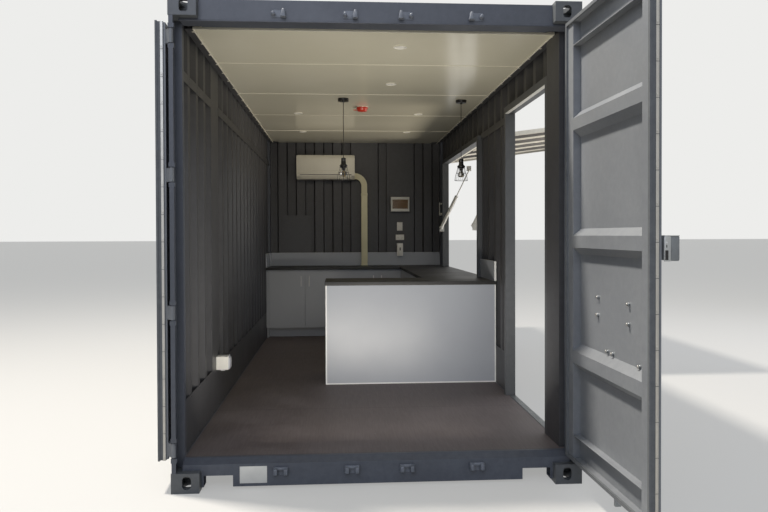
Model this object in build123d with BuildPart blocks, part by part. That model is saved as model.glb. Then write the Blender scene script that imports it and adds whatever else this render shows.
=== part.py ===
import os
from math import cos, radians, sin

from build123d import *

os.makedirs("parts", exist_ok=True)

# A twenty-foot high-cube shipping container fitted out as a shop. X runs along its length, away from
# the cargo doors; the serving side faces -Y; Z is up. The origin is at ground level, at the centre of
# the four bottom corner castings. Millimetres throughout.

# Overall size
container_length = 6058
container_width = 2438
container_height = 2896
ceiling_drop = 124
ceiling_height = container_height - ceiling_drop
front = -container_length / 2
rear = container_length / 2
half_width = container_width / 2

# Corner castings
casting_length = 178
casting_width = 162
casting_height = 118
casting_plate = 28
casting_wall = 18
slot_length = 124
slot_width = 63.5
slot_from_end = 102.5
slot_from_side = 89.5
end_hole_height = 79
end_hole_width = 52
end_hole_up = 62
side_hole_length = 79
side_hole_height = 52

# Frame
frame_setback = 4
frame_bottom = 17
rail_drop = 7
frame_top = container_height - rail_drop
side_face = half_width - frame_setback
top_tube = 60
tube_wall = 4
bottom_rail_wall = 5
bottom_rail_lip = 30
floor_top = 176
floor_thickness = 28
floor_underside = floor_top - floor_thickness
cross_member_height = 122
cross_member_flange = 45
cross_member_plate = 4
cross_member_pitch = 308
cross_member_first = 250
cross_member_count = int((container_length - 2 * cross_member_first) / cross_member_pitch) + 1

# Door end
opening_half_width = 1163
post_flange = 25
post_plate = 10
post_tube_wall = 6
post_front = 2
stop_front = 128
stop_depth = 50
sill_front = 60
sill_front_top = 150
sill_level_from = 120
sill_back = 145
sill_plate = 5
notch_inner = 870
notch_outer = 1041
notch_top = 84
header_drop = 134
header_bottom = container_height - header_drop
header_back = 200
header_plate = 5

# Corrugated sheet
sheet = 2
wall_outer = half_width - 6
wall_depth = 36
wall_pitch = 278
wall_crest = 70
wall_web = 68
wall_trough_at = 250
end_wall_outer = container_length - 5
end_wall_depth = 45
end_wall_pitch = 250
end_wall_crest = 110
end_wall_web = 18
roof_depth = 20
roof_pitch = 209
roof_crest = 91
roof_web = 14
roof_top = frame_top - 3
inner_crest = wall_outer - wall_depth - sheet
end_inner_crest = end_wall_outer - end_wall_depth - sheet

# Cargo doors
pin_from_side = 14
pin_from_front = 14
pin_radius = 8
pin_clearance = 0.6
leaf_gap = 35
leaf_stand_off = 35
leaf_thickness = 47
leaf_bottom = 192
leaf_top_gap = 16
leaf_top = header_bottom - leaf_top_gap
leaf_meeting_gap = 24
stile_width = 100
leaf_bottom_rail = 140
leaf_top_rail = 145
leaf_wall = 4
leaf_plate = 3
leaf_recess = 44
rib_crest = 70
rib_slope = 40
rib_centres = (790, 1462, 2145)
hinge_count = 4
hinge_from_bottom = 59
hinge_from_top = 86
hinge_span = leaf_top - leaf_bottom - hinge_from_bottom - hinge_from_top
hinge_heights = tuple(
    leaf_bottom + hinge_from_bottom + number * hinge_span / (hinge_count - 1)
    for number in range(hinge_count)
)
hinge_height = 80
hinge_clearance = 6
knuckle_radius = 14
blade_thickness = 8
blade_reach = 175
blade_offset = 5
lug_height = 26
lug_outer = 0
lug_inner = 34
lug_back = 30
left_door_open = 267
right_door_open = 91.1
rod_radius = 16.5
rod_stand_off = 28
rod_offsets = (165, 588)
keeper_low = 80
keeper_on_header = 24
keeper_bottoms = (keeper_low, header_bottom + keeper_on_header)
keeper_height = 47
keeper_pitch = 46
keeper_prong = 14
keeper_reach = 44
keeper_plate = (83, 4)
keeper_clearance = 7
cam_width = 20
cam_depth = (18, 14)
handle_height = 1122
handle_length = 380
handle_flat = (34, 8)
handle_stand_off = 24
retainer_from_rod = 190
retainer_block = (40, 20)
retainer_plate = (60, 130)
hub_radius = 20
hub_height = 70
bearing_from_top = 226
bearing_heights = (420, 900, 1700, leaf_top - bearing_from_top)
bearing_size = (104, 60)
bearing_block = 46
bracket_plate = 6
seal_base = 4
seal_width = 48
seal_reach = 12
seal_fin = 5
seal_lip = 14
lock_box_size = (98, 117, 76)
lock_box_plate = 5
lock_box_bottom = 1380
lock_box_bracket = (60, 96, 10)

# Openings in the serving side, measured from the door end
doorway_near = 510
doorway_far = 1700
doorway_head_drop = 272
doorway_head = ceiling_height - doorway_head_drop
hatch_near = 3000
hatch_from_end = 608
hatch_far = container_length - hatch_from_end
hatch_head_drop = 342
hatch_head = ceiling_height - hatch_head_drop
frame_tube = 50
frame_depth = 82
frame_wall = 4
frame_inner = side_face - frame_depth - 2

# Serving hatch flap
flap_fall = 7.5
flap_gap = 8
flap_tube = 40
flap_tube_wall = 3
flap_length = 1350
flap_pivot_out = 10
flap_pivot_above = 35
flap_pivot_height = hatch_head + flap_pivot_above
flap_band_width = 195
flap_band_pitch = 567
flap_band_web = 42
flap_hinges = 4
flap_hinge_length = 90
strut_body_radius = 16
strut_rod_radius = 7
strut_body_length = 467
strut_lower = (1100, hatch_head - 850)
strut_upper = (1480, flap_pivot_height - 112)
strut_inset = 30
strut_bracket = 6
ball_radius = 11

# Ceiling
ceiling_thickness = 50
ceiling_half_width = 1127
ceiling_front = 267
ceiling_pitch = 1200
ceiling_joint = 2
strip_lap = 12
ceiling_capping = 5
ceiling_capping_drop = 8
cover_strip = 4
downlight_radius = 45
downlight_drop = 4
downlight_can = 37
downlight_wall = 3
downlight_depth = 44
downlight_recess = 30
downlights = ((660, -180), (1910, -206), (3480, -600), (4870, -604), (3470, 650), (4880, 667))
pendants = ((2610, 190), (2650, -920))
rose_radius = 50
rose_height = 26
flex_radius = 3
flex_length = 524
holder_radius = 22
holder_height = 59
collar_radius = 37
collar_height = 24
collar_neck = 15
bulb_radius = 30
bulb_height = 78
detector_at = (3070, 0)
detector_radius = 52
detector_height = 46

# Joinery
bench_height = 1087
bench_thickness = 32
bench_depth = 603
bench_back_depth = 616
bench_overhang = 20
board = 16
upstand_height = 175
counter_front = 2275
counter_end = 357
counter_overhang = 4
cabinet_base = 130
cabinet_filler = 36
cabinet_door = 468
cabinet_gap = 3
kick_recess = 120
cabinet_bar = 10
cabinet_handle_height = 910
cabinet_shelf = 660
handle_span = 128
handle_stand = 28
handle_in = 52

# Wall fittings
skirting_top = 505
skirting_plate = 3
batten_drop = 272
batten_width = 60
batten_top = ceiling_height - batten_drop
batten_bottom = batten_top - batten_width
batten_plate = 5
cover_plate = 3
cover_first_trough = 1362
back_cover_centres = (-118, -610)
access_plate = (400, 520)
access_plate_at = (808, 1520)
cooler_width = 780
cooler_height = 318
cooler_depth = 205
cooler_centre = 407
cooler_drop = 510
cooler_bottom = ceiling_height - cooler_drop
trunk_width = 78
trunk_depth = 62
trunk_rise = 48
trunk_level = cooler_bottom + trunk_rise
trunk_at = 117
switchboard_size = (257, 202, 70)
switchboard_at = (-610, 1924)
switch_size = (75, 115, 12)
switch_at = (-608, 1620)
outlet_size = (115, 75, 12)
outlet_at = (-609, 1470)
low_outlet_size = (80, 175, 60)
low_outlet_at = (-608, 1301)
side_outlet_size = (95, 90, 100)
side_outlet_at = (1420, 530)


def behind_doors(distance):
    """X of a point so far behind the door end's face."""
    return front + distance


def corrugation(start, end, pitch, crest, web, depth, trough_at):
    """Corners of a trapezoid wave from start to end: 0 at its troughs, depth at its crests."""
    trough = pitch - crest - 2 * web
    wave = []
    centre = trough_at - pitch * (int((trough_at - start) / pitch) + 2)
    while centre < end + pitch:
        wave.append((centre - trough / 2, 0))
        wave.append((centre + trough / 2, 0))
        wave.append((centre + trough / 2 + web, depth))
        wave.append((centre + trough / 2 + web + crest, depth))
        centre += pitch
    points = []
    for (x1, y1), (x2, y2) in zip(wave, wave[1:]):
        if x2 <= start or x1 >= end:
            continue
        low = max(x1, start)
        high = min(x2, end)
        slope = (y2 - y1) / (x2 - x1)
        if not points:
            points.append((low, y1 + slope * (low - x1)))
        points.append((high, y1 + slope * (high - x1)))
    return points


def sheet_outline(points, thickness):
    """A wave's corners there and back, so far apart."""
    back = [(x, y + thickness) for x, y in reversed(points)]
    return points + back


def side_wall_outline(start, end, side):
    """Plan of a side wall's sheet between two distances behind the doors."""
    wave = corrugation(start, end, wall_pitch, wall_crest, wall_web, wall_depth, wall_trough_at)
    outline = sheet_outline(wave, sheet)
    return [(behind_doors(x), side * (wall_outer - y)) for x, y in outline]


# Corner castings
with BuildPart() as corner_castings:
    for end_sign in (-1, 1):
        for side_sign in (-1, 1):
            for lift in (0, container_height - casting_height):
                x = end_sign * (rear - casting_length / 2)
                y = side_sign * (half_width - casting_width / 2)
                z = lift + casting_height / 2
                slot_x = end_sign * (rear - slot_from_end)
                slot_y = side_sign * (half_width - slot_from_side)
                with Locations((x, y, z)):
                    Box(casting_length, casting_width, casting_height)
                    Box(
                        casting_length - 2 * casting_wall,
                        casting_width - 2 * casting_wall,
                        casting_height - 2 * casting_plate,
                        mode=Mode.SUBTRACT,
                    )
                aperture = lift == 0 and Plane.XY or Plane.XY.offset(container_height)
                with BuildSketch(aperture):
                    with Locations((slot_x, slot_y)):
                        SlotOverall(slot_length, slot_width)
                extrude(amount=casting_plate if lift == 0 else -casting_plate, mode=Mode.SUBTRACT)
                hole_z = lift + (end_hole_up if lift == 0 else casting_height - end_hole_up)
                with BuildSketch(Plane.YZ.offset(end_sign * rear)):
                    with Locations((slot_y, hole_z)):
                        SlotOverall(end_hole_height, end_hole_width, rotation=90)
                extrude(amount=-end_sign * casting_wall, mode=Mode.SUBTRACT)
                with BuildSketch(Plane.XZ.offset(-side_sign * half_width)):
                    with Locations((slot_x, hole_z)):
                        SlotOverall(side_hole_length, side_hole_height)
                extrude(amount=side_sign * casting_wall, mode=Mode.SUBTRACT)
corner_castings.part.label = "corner_castings"
export_step(corner_castings.part, "parts/corner_castings.step")

# Door posts: a front flange and outer web, with the hollow door stop behind, notched at each hinge
post_bottom = casting_height
post_height = container_height - 2 * casting_height
pin_y = half_width - pin_from_side
leaf_free_edge = pin_y - leaf_meeting_gap / 2
pin_x = behind_doors(pin_from_front)
stop_back = stop_front + stop_depth
with BuildPart() as door_posts:
    for side_sign in (-1, 1):
        with BuildSketch(Plane.XY.offset(post_bottom)):
            with BuildLine():
                Polyline(
                    (behind_doors(post_front), side_sign * side_face),
                    (behind_doors(post_front), side_sign * (side_face - post_flange)),
                    (behind_doors(post_front + post_plate), side_sign * (side_face - post_flange)),
                    (behind_doors(post_front + post_plate), side_sign * (side_face - post_plate)),
                    (behind_doors(stop_front), side_sign * (side_face - post_plate)),
                    (behind_doors(stop_front), side_sign * opening_half_width),
                    (behind_doors(stop_back), side_sign * opening_half_width),
                    (behind_doors(stop_back), side_sign * side_face),
                    close=True,
                )
            make_face()
            hollow_width = side_face - post_plate - opening_half_width - post_tube_wall
            with Locations(
                (
                    behind_doors(stop_front + stop_depth / 2),
                    side_sign * (opening_half_width + post_tube_wall + hollow_width / 2),
                )
            ):
                Rectangle(stop_depth - 2 * post_tube_wall, hollow_width, mode=Mode.SUBTRACT)
        extrude(amount=post_height)
        notch_height = hinge_height + 2 * hinge_clearance
        notch_width = side_face - opening_half_width + 10
        for height in hinge_heights:
            for turn in (-1, 1):
                with Locations(
                    (
                        behind_doors((post_front + lug_back) / 2),
                        side_sign * (half_width - (lug_outer + lug_inner) / 2),
                        height + turn * (notch_height / 2 + lug_height / 2),
                    )
                ):
                    Box(lug_back - post_front, lug_inner - lug_outer, lug_height)
            with Locations((behind_doors(post_front + 24), side_sign * side_face, height)):
                Box(48 + 2 * post_front, 2 * notch_width, notch_height, mode=Mode.SUBTRACT)
            with Locations((pin_x, side_sign * pin_y, height)):
                Cylinder(pin_radius, notch_height)
door_posts.part.label = "door_posts"
export_step(door_posts.part, "parts/door_posts.step")

# Door header: a box beam between the top castings, on a plate that closes down to the door stops
casting_inner = half_width - casting_width
with BuildPart() as door_header:
    with BuildSketch(Plane.XZ.offset(-casting_inner)):
        with Locations((behind_doors((sill_front + header_back) / 2), (header_bottom + frame_top) / 2)):
            Rectangle(header_back - sill_front, frame_top - header_bottom)
        offset(amount=-header_plate, mode=Mode.SUBTRACT)
    extrude(amount=2 * casting_inner)
    lip_height = container_height - casting_height - header_bottom
    with Locations(
        (
            behind_doors((sill_front + stop_front + stop_depth) / 2),
            0,
            header_bottom + lip_height / 2,
        )
    ):
        Box(stop_front + stop_depth - sill_front, 2 * opening_half_width, lip_height)
door_header.part.label = "door_header"
export_step(door_header.part, "parts/door_header.step")

# Door sill: folded plate, its top falling to the front, notched next to each casting
with BuildPart() as door_sill:
    with BuildSketch(Plane.XZ.offset(-casting_inner)):
        with BuildLine():
            Polyline(
                (behind_doors(sill_front), frame_bottom),
                (behind_doors(sill_front), sill_front_top),
                (behind_doors(sill_level_from), floor_top),
                (behind_doors(sill_back), floor_top),
                (behind_doors(sill_back), frame_bottom),
                close=True,
            )
        make_face()
        offset(amount=-sill_plate, mode=Mode.SUBTRACT)
    extrude(amount=2 * casting_inner)
    for low_y in (-opening_half_width, casting_inner):
        with BuildSketch(Plane.XZ.offset(-low_y - (opening_half_width - casting_inner))):
            with BuildLine():
                Polyline(
                    (behind_doors(sill_front), casting_height),
                    (behind_doors(sill_front), sill_front_top),
                    (behind_doors(sill_level_from), floor_top),
                    (behind_doors(sill_back), floor_top),
                    (behind_doors(sill_back), casting_height),
                    close=True,
                )
            make_face()
        extrude(amount=opening_half_width - casting_inner)
    with Locations(
        *[
            (behind_doors(sill_front), side_sign * (notch_inner + notch_outer) / 2, frame_bottom)
            for side_sign in (-1, 1)
        ]
    ):
        Box(4 * sill_back, notch_outer - notch_inner, 2 * (notch_top - frame_bottom), mode=Mode.SUBTRACT)
door_sill.part.label = "door_sill"
export_step(door_sill.part, "parts/door_sill.step")

# Closed end: two hollow corner posts joined by a bottom and a top rail
rear_post_width = side_face - opening_half_width
rear_post_depth = casting_length - frame_setback
rear_face = rear - frame_setback
rail_depth = top_tube
with BuildPart() as closed_end_frame:
    for side_sign in (-1, 1):
        with BuildSketch(Plane.XY.offset(casting_height)):
            with Locations(
                (rear_face - rear_post_depth / 2, side_sign * (side_face - rear_post_width / 2))
            ):
                Rectangle(rear_post_depth, rear_post_width)
            offset(amount=-post_tube_wall, mode=Mode.SUBTRACT)
        extrude(amount=post_height)
    rear_rail_x = rear_face - rail_depth / 2
    with BuildSketch(Plane.XZ.offset(-casting_inner)):
        with Locations((rear_rail_x, (frame_bottom + floor_top) / 2)):
            Rectangle(rail_depth, floor_top - frame_bottom)
        with Locations((rear_rail_x, frame_top - top_tube / 2)):
            Rectangle(rail_depth, top_tube)
        offset(amount=-tube_wall, mode=Mode.SUBTRACT)
    extrude(amount=2 * casting_inner)
    for side_sign in (-1, 1):
        with Locations(
            (
                rear_rail_x,
                side_sign * (casting_inner + opening_half_width) / 2,
                (casting_height + floor_top) / 2,
            )
        ):
            Box(rail_depth, opening_half_width - casting_inner, floor_top - casting_height)
closed_end_frame.part.label = "closed_end_frame"
export_step(closed_end_frame.part, "parts/closed_end_frame.step")

# Top side rails: square tube between the castings
rail_length = container_length - 2 * casting_length
with BuildPart() as top_side_rails:
    with BuildSketch(Plane.YZ.offset(front + casting_length)):
        for side_sign in (-1, 1):
            with Locations((side_sign * (side_face - top_tube / 2), frame_top - top_tube / 2)):
                Rectangle(top_tube, top_tube)
                Rectangle(top_tube - 2 * tube_wall, top_tube - 2 * tube_wall, mode=Mode.SUBTRACT)
    extrude(amount=rail_length)
top_side_rails.part.label = "top_side_rails"
export_step(top_side_rails.part, "parts/top_side_rails.step")

# Bottom side rails: folded channel, open inward
with BuildPart() as bottom_side_rails:
    with BuildSketch(Plane.YZ.offset(front + casting_length)):
        for side_sign in (-1, 1):
            with BuildLine():
                Polyline(
                    (side_sign * (side_face - bottom_rail_lip), frame_bottom),
                    (side_sign * side_face, frame_bottom),
                    (side_sign * side_face, floor_top),
                    (side_sign * opening_half_width, floor_top),
                    (side_sign * opening_half_width, floor_top - bottom_rail_wall),
                    (side_sign * (side_face - bottom_rail_wall), floor_top - bottom_rail_wall),
                    (side_sign * (side_face - bottom_rail_wall), frame_bottom + bottom_rail_wall),
                    (side_sign * (side_face - bottom_rail_lip), frame_bottom + bottom_rail_wall),
                    close=True,
                )
            make_face()
    extrude(amount=rail_length)
bottom_side_rails.part.label = "bottom_side_rails"
export_step(bottom_side_rails.part, "parts/bottom_side_rails.step")

# Cross members: channels under the floor, from rail to rail
cross_member_half = side_face - bottom_rail_wall
with BuildPart() as cross_members:
    with BuildSketch(Plane.XZ.offset(-cross_member_half)):
        for number in range(cross_member_count):
            x = behind_doors(cross_member_first + number * cross_member_pitch)
            with Locations((x + cross_member_flange / 2, floor_underside - cross_member_height / 2)):
                Rectangle(cross_member_flange, cross_member_height)
            with Locations(
                (
                    x + cross_member_plate + cross_member_flange / 2,
                    floor_underside - cross_member_height / 2,
                )
            ):
                Rectangle(
                    cross_member_flange,
                    cross_member_height - 2 * cross_member_plate,
                    mode=Mode.SUBTRACT,
                )
    extrude(amount=2 * cross_member_half)
cross_members.part.label = "cross_members"
export_step(cross_members.part, "parts/cross_members.step")

# Plywood floor
floor_end = rear_face - rail_depth
with BuildPart() as floor_boards:
    with Locations(
        ((behind_doors(sill_back) + floor_end) / 2, 0, (floor_top + floor_underside) / 2)
    ):
        Box(floor_end - behind_doors(sill_back), 2 * opening_half_width, floor_thickness)
floor_boards.part.label = "floor_boards"
export_step(floor_boards.part, "parts/floor_boards.step")

# Roof: pressed sheet between the rails, cut out round the header and the rear castings
with BuildPart() as roof_sheet:
    roof_end = container_length - frame_setback - rail_depth
    wave = corrugation(
        casting_length, roof_end, roof_pitch, roof_crest, roof_web, roof_depth, header_back + roof_crest
    )
    outline = sheet_outline(wave, sheet)
    with BuildSketch(Plane.XZ.offset(-(side_face - top_tube))):
        with BuildLine():
            Polyline(
                *[(behind_doors(x), roof_top - roof_depth - sheet + y) for x, y in outline],
                close=True,
            )
        make_face()
    extrude(amount=2 * (side_face - top_tube))
    with Locations((front, 0, frame_top)):
        Box(2 * header_back, 2 * casting_inner, 4 * roof_depth, mode=Mode.SUBTRACT)
    with Locations((rear, half_width, frame_top), (rear, -half_width, frame_top)):
        Box(2 * casting_length, 2 * casting_width, 4 * roof_depth, mode=Mode.SUBTRACT)
roof_sheet.part.label = "roof_sheet"
export_step(roof_sheet.part, "parts/roof_sheet.step")

# Left side wall: corrugated sheet, full length
wall_top = frame_top - top_tube
wall_start = casting_length
wall_end = container_length - casting_length
with BuildPart() as left_wall:
    with BuildSketch(Plane.XY.offset(floor_top)):
        with BuildLine():
            Polyline(*side_wall_outline(wall_start, wall_end, 1), close=True)
        make_face()
    extrude(amount=wall_top - floor_top)
left_wall.part.label = "left_wall"
export_step(left_wall.part, "parts/left_wall.step")

# End wall: corrugated sheet between the rear posts, cut out under the castings
with BuildPart() as end_wall:
    wave = corrugation(
        -opening_half_width,
        opening_half_width,
        end_wall_pitch,
        end_wall_crest,
        end_wall_web,
        end_wall_depth,
        end_wall_pitch / 2,
    )
    with BuildSketch(Plane.XY.offset(floor_top)):
        with BuildLine():
            Polyline(
                *[(behind_doors(end_wall_outer - y), x) for x, y in sheet_outline(wave, sheet)],
                close=True,
            )
        make_face()
    extrude(amount=wall_top - floor_top)
    with Locations((rear, half_width, container_height), (rear, -half_width, container_height)):
        Box(2 * casting_length, 2 * casting_width, 2 * casting_height, mode=Mode.SUBTRACT)
end_wall.part.label = "end_wall"
export_step(end_wall.part, "parts/end_wall.step")


def serving_wall(panels):
    """Corrugated panels of the serving side, each from one distance to another, bottom to top."""
    with BuildPart() as wall:
        for start, end, bottom, top in panels:
            with BuildSketch(Plane.XY.offset(bottom)):
                with BuildLine():
                    Polyline(*side_wall_outline(start, end, -1), close=True)
                make_face()
            extrude(amount=top - bottom)
    return wall


# Serving side: wall over the doorway and the hatch, between and beyond them, and under the hatch
doorway_outer = (doorway_near - frame_tube, doorway_far + frame_tube)
hatch_outer = (hatch_near - frame_tube, hatch_far + frame_tube)
hatch_frame_bottom = bench_height - bench_thickness - frame_tube
serving_side_heads = serving_wall(
    (
        (doorway_outer[0], doorway_outer[1], doorway_head + frame_tube, wall_top),
        (hatch_outer[0], hatch_outer[1], hatch_head + frame_tube, wall_top),
    )
)
serving_side_heads.part.label = "serving_side_heads"
export_step(serving_side_heads.part, "parts/serving_side_heads.step")

serving_side_walls = serving_wall(
    (
        (doorway_outer[1], hatch_outer[0], floor_top, wall_top),
        (hatch_outer[1], wall_end, floor_top, wall_top),
    )
)
serving_side_walls.part.label = "serving_side_walls"
export_step(serving_side_walls.part, "parts/serving_side_walls.step")

hatch_apron = serving_wall(((hatch_outer[0], hatch_outer[1], floor_top, hatch_frame_bottom),))
hatch_apron.part.label = "hatch_apron"
export_step(hatch_apron.part, "parts/hatch_apron.step")

# Flat box panel between the door post and the doorway
lining_top = ceiling_height - cover_strip
panel_length = doorway_outer[0] - casting_length
panel_middle = behind_doors(casting_length + panel_length / 2)
with BuildPart() as doorway_side_panel:
    with Locations(
        (panel_middle, -(frame_inner + frame_depth / 2), (floor_top + lining_top) / 2)
    ):
        Box(panel_length, frame_depth, lining_top - floor_top)
        Box(
            panel_length - 2 * frame_wall,
            frame_depth - 2 * frame_wall,
            lining_top - floor_top - 2 * frame_wall,
            mode=Mode.SUBTRACT,
        )
    with Locations((panel_middle, -(wall_outer - wall_depth / 2), (lining_top + wall_top) / 2)):
        Box(panel_length, wall_depth, wall_top - lining_top)
doorway_side_panel.part.label = "doorway_side_panel"
export_step(doorway_side_panel.part, "parts/doorway_side_panel.step")

# Doorway frame: box section, without a sill
with BuildPart() as doorway_frame:
    for inset in (0, frame_wall):
        with BuildSketch(Plane.XZ.offset(frame_inner + inset)):
            for near, far in (
                (doorway_outer[0] + inset, doorway_near - inset),
                (doorway_far + inset, doorway_outer[1] - inset),
            ):
                with Locations(
                    (
                        behind_doors((near + far) / 2),
                        (floor_top + doorway_head + frame_tube) / 2,
                    )
                ):
                    Rectangle(far - near, doorway_head + frame_tube - floor_top - 2 * inset)
            with Locations(
                (behind_doors((doorway_near + doorway_far) / 2), doorway_head + frame_tube / 2)
            ):
                Rectangle(doorway_outer[1] - doorway_outer[0] - 2 * inset, frame_tube - 2 * inset)
        extrude(
            amount=frame_depth - 2 * inset,
            mode=Mode.ADD if inset == 0 else Mode.SUBTRACT,
        )
doorway_frame.part.label = "doorway_frame"
export_step(doorway_frame.part, "parts/doorway_frame.step")

# Hatch frame: box section all round
hatch_middle = behind_doors((hatch_near + hatch_far) / 2)
hatch_clear = hatch_far - hatch_near
hatch_clear_height = hatch_head - hatch_frame_bottom - frame_tube
hatch_centre_height = (hatch_head + hatch_frame_bottom + frame_tube) / 2
with BuildPart() as hatch_frame:
    for inset in (0, frame_wall):
        with BuildSketch(Plane.XZ.offset(frame_inner + inset)):
            with Locations((hatch_middle, hatch_centre_height)):
                Rectangle(
                    hatch_clear + 2 * (frame_tube - inset),
                    hatch_clear_height + 2 * (frame_tube - inset),
                )
                Rectangle(
                    hatch_clear + 2 * inset,
                    hatch_clear_height + 2 * inset,
                    mode=Mode.SUBTRACT,
                )
        extrude(
            amount=frame_depth - 2 * inset,
            mode=Mode.ADD if inset == 0 else Mode.SUBTRACT,
        )
hatch_frame.part.label = "hatch_frame"
export_step(hatch_frame.part, "parts/hatch_frame.step")


def door_leaf(plane, inward):
    """Leaf: box stiles and rails open inward, round a sheet with three ribs. Local X runs from the pin."""
    height = leaf_top - leaf_bottom
    middle = (leaf_top + leaf_bottom) / 2
    with BuildPart(plane) as leaf:
        for inset in (0, leaf_wall):
            with BuildSketch(plane.offset(leaf_bottom + inset)):
                for start in (leaf_gap, leaf_free_edge - stile_width):
                    with Locations(
                        (start + stile_width / 2, inward * (leaf_stand_off + leaf_thickness / 2))
                    ):
                        Rectangle(stile_width - 2 * inset, leaf_thickness - 2 * inset)
            extrude(
                amount=height - 2 * inset,
                mode=Mode.ADD if inset == 0 else Mode.SUBTRACT,
            )
        across = Plane(
            origin=plane.from_local_coords((leaf_gap + stile_width, 0, 0)),
            x_dir=plane.y_dir,
            z_dir=plane.x_dir,
        )
        with BuildSketch(across):
            for low, high in (
                (leaf_bottom, leaf_bottom + leaf_bottom_rail),
                (leaf_top - leaf_top_rail, leaf_top),
            ):
                rail_middle = leaf_stand_off + leaf_thickness / 2
                with Locations((inward * rail_middle, (low + high) / 2)):
                    Rectangle(leaf_thickness, high - low)
                with Locations((inward * (rail_middle + leaf_wall), (low + high) / 2)):
                    Rectangle(leaf_thickness, high - low - 2 * leaf_wall, mode=Mode.SUBTRACT)
            flat = leaf_stand_off + leaf_thickness - leaf_recess - leaf_plate
            profile = [(leaf_bottom + leaf_bottom_rail, flat)]
            for centre in rib_centres:
                for offset_z, out in (
                    (-rib_crest / 2 - rib_slope, 0),
                    (-rib_crest / 2, leaf_recess),
                    (rib_crest / 2, leaf_recess),
                    (rib_crest / 2 + rib_slope, 0),
                ):
                    profile.append((centre + offset_z, flat + out))
            profile.append((leaf_top - leaf_top_rail, flat))
            with BuildLine():
                Polyline(
                    *[(inward * n, z) for z, n in sheet_outline(profile, leaf_plate)],
                    close=True,
                )
            make_face()
        extrude(amount=leaf_free_edge - leaf_gap - 2 * stile_width)
    return leaf


def door_gasket(plane, inward):
    """Rubber seal round the leaf: a strip on its edges with a lip toward the door stops."""
    bottom = leaf_bottom - seal_base
    top = leaf_top + seal_base
    near = leaf_gap - seal_base
    far = leaf_free_edge + seal_base
    face = leaf_stand_off + leaf_thickness
    with BuildPart(plane) as gasket:
        across = Plane(origin=plane.origin, x_dir=plane.x_dir, z_dir=plane.y_dir * -1)
        with BuildSketch(across.offset(-inward * (face - seal_width + seal_reach))):
            with Locations(((near + far) / 2, (bottom + top) / 2)):
                Rectangle(far - near, top - bottom)
            with Locations(
                ((leaf_gap + leaf_free_edge) / 2, (leaf_bottom + leaf_top) / 2)
            ):
                Rectangle(
                    leaf_free_edge - leaf_gap,
                    leaf_top - leaf_bottom,
                    mode=Mode.SUBTRACT,
                )
        extrude(amount=-inward * seal_width)
        with BuildSketch(across.offset(-inward * face)):
            with Locations(((near + far) / 2, (bottom + top) / 2)):
                Rectangle(far - near + 2 * seal_fin, top - bottom + 2 * seal_fin)
                Rectangle(
                    far - near - 2 * seal_lip,
                    top - bottom - 2 * seal_lip,
                    mode=Mode.SUBTRACT,
                )
        extrude(amount=-inward * seal_reach)
    return gasket


def hinge_blades(plane, inward):
    """Blades: a knuckle on each pin, cranked out to lie on the leaf's outer face."""
    with BuildPart(plane) as blades:
        for height in hinge_heights:
            with BuildSketch(plane.offset(height - hinge_height / 2)):
                Circle(knuckle_radius)
                with BuildLine():
                    Polyline(
                        (-blade_offset, inward * blade_offset),
                        (leaf_stand_off - blade_offset * 2, inward * leaf_stand_off),
                        (blade_reach, inward * leaf_stand_off),
                        (blade_reach, inward * (leaf_stand_off - blade_thickness)),
                        (leaf_stand_off - blade_offset, inward * (leaf_stand_off - blade_thickness)),
                        (blade_offset, -inward * blade_offset),
                        close=True,
                    )
                make_face()
                Circle(pin_radius + pin_clearance, mode=Mode.SUBTRACT)
            extrude(amount=hinge_height)
    return blades


def lock_rods(plane, inward):
    """Two locking bars on the leaf's outer face, with cams, bearings, handles and retainers."""
    rod_n = leaf_stand_off - rod_stand_off
    low = keeper_bottoms[0] + keeper_height + keeper_clearance
    high = keeper_bottoms[1] - keeper_clearance
    cam_length = keeper_height + keeper_clearance
    skin_face = leaf_stand_off + leaf_thickness - leaf_recess - leaf_plate
    plate_thickness = skin_face - leaf_stand_off + bracket_plate
    plate_n = inward * (skin_face - plate_thickness / 2)
    with BuildPart(plane) as gear:
        for offset_from_centre in rod_offsets:
            rod_s = pin_y - offset_from_centre
            with Locations((rod_s, inward * rod_n, (low + high) / 2)):
                Cylinder(rod_radius, high - low)
            for cam_z in (low - cam_length / 2, high + cam_length / 2):
                with Locations(
                    (rod_s, inward * (rod_n + (cam_depth[1] - cam_depth[0]) / 2), cam_z)
                ):
                    Box(cam_width, sum(cam_depth), cam_length)
            for bearing_z in bearing_heights:
                with Locations((rod_s, plate_n, bearing_z)):
                    Box(bearing_size[0], plate_thickness, bearing_size[1])
                with Locations((rod_s, inward * (leaf_stand_off - rod_stand_off / 2 - 8), bearing_z)):
                    Box(bearing_block, rod_stand_off + 16, bearing_size[1])
            with Locations((rod_s, inward * rod_n, handle_height)):
                Cylinder(hub_radius, hub_height)
            handle_n = inward * (leaf_stand_off - handle_stand_off - handle_flat[1] / 2)
            with Locations((rod_s - handle_length / 2, handle_n, handle_height)):
                Box(handle_length, handle_flat[1], handle_flat[0])
            retainer_s = rod_s - retainer_from_rod
            with Locations((retainer_s, plate_n, handle_height)):
                Box(retainer_plate[0], plate_thickness, retainer_plate[1])
            with Locations(
                (
                    retainer_s,
                    inward * (leaf_stand_off - (handle_stand_off + handle_flat[1]) / 2),
                    handle_height - (handle_flat[0] + retainer_block[1]) / 2,
                )
            ):
                Box(retainer_block[0], handle_stand_off + handle_flat[1], retainer_block[1])
    return gear


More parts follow.
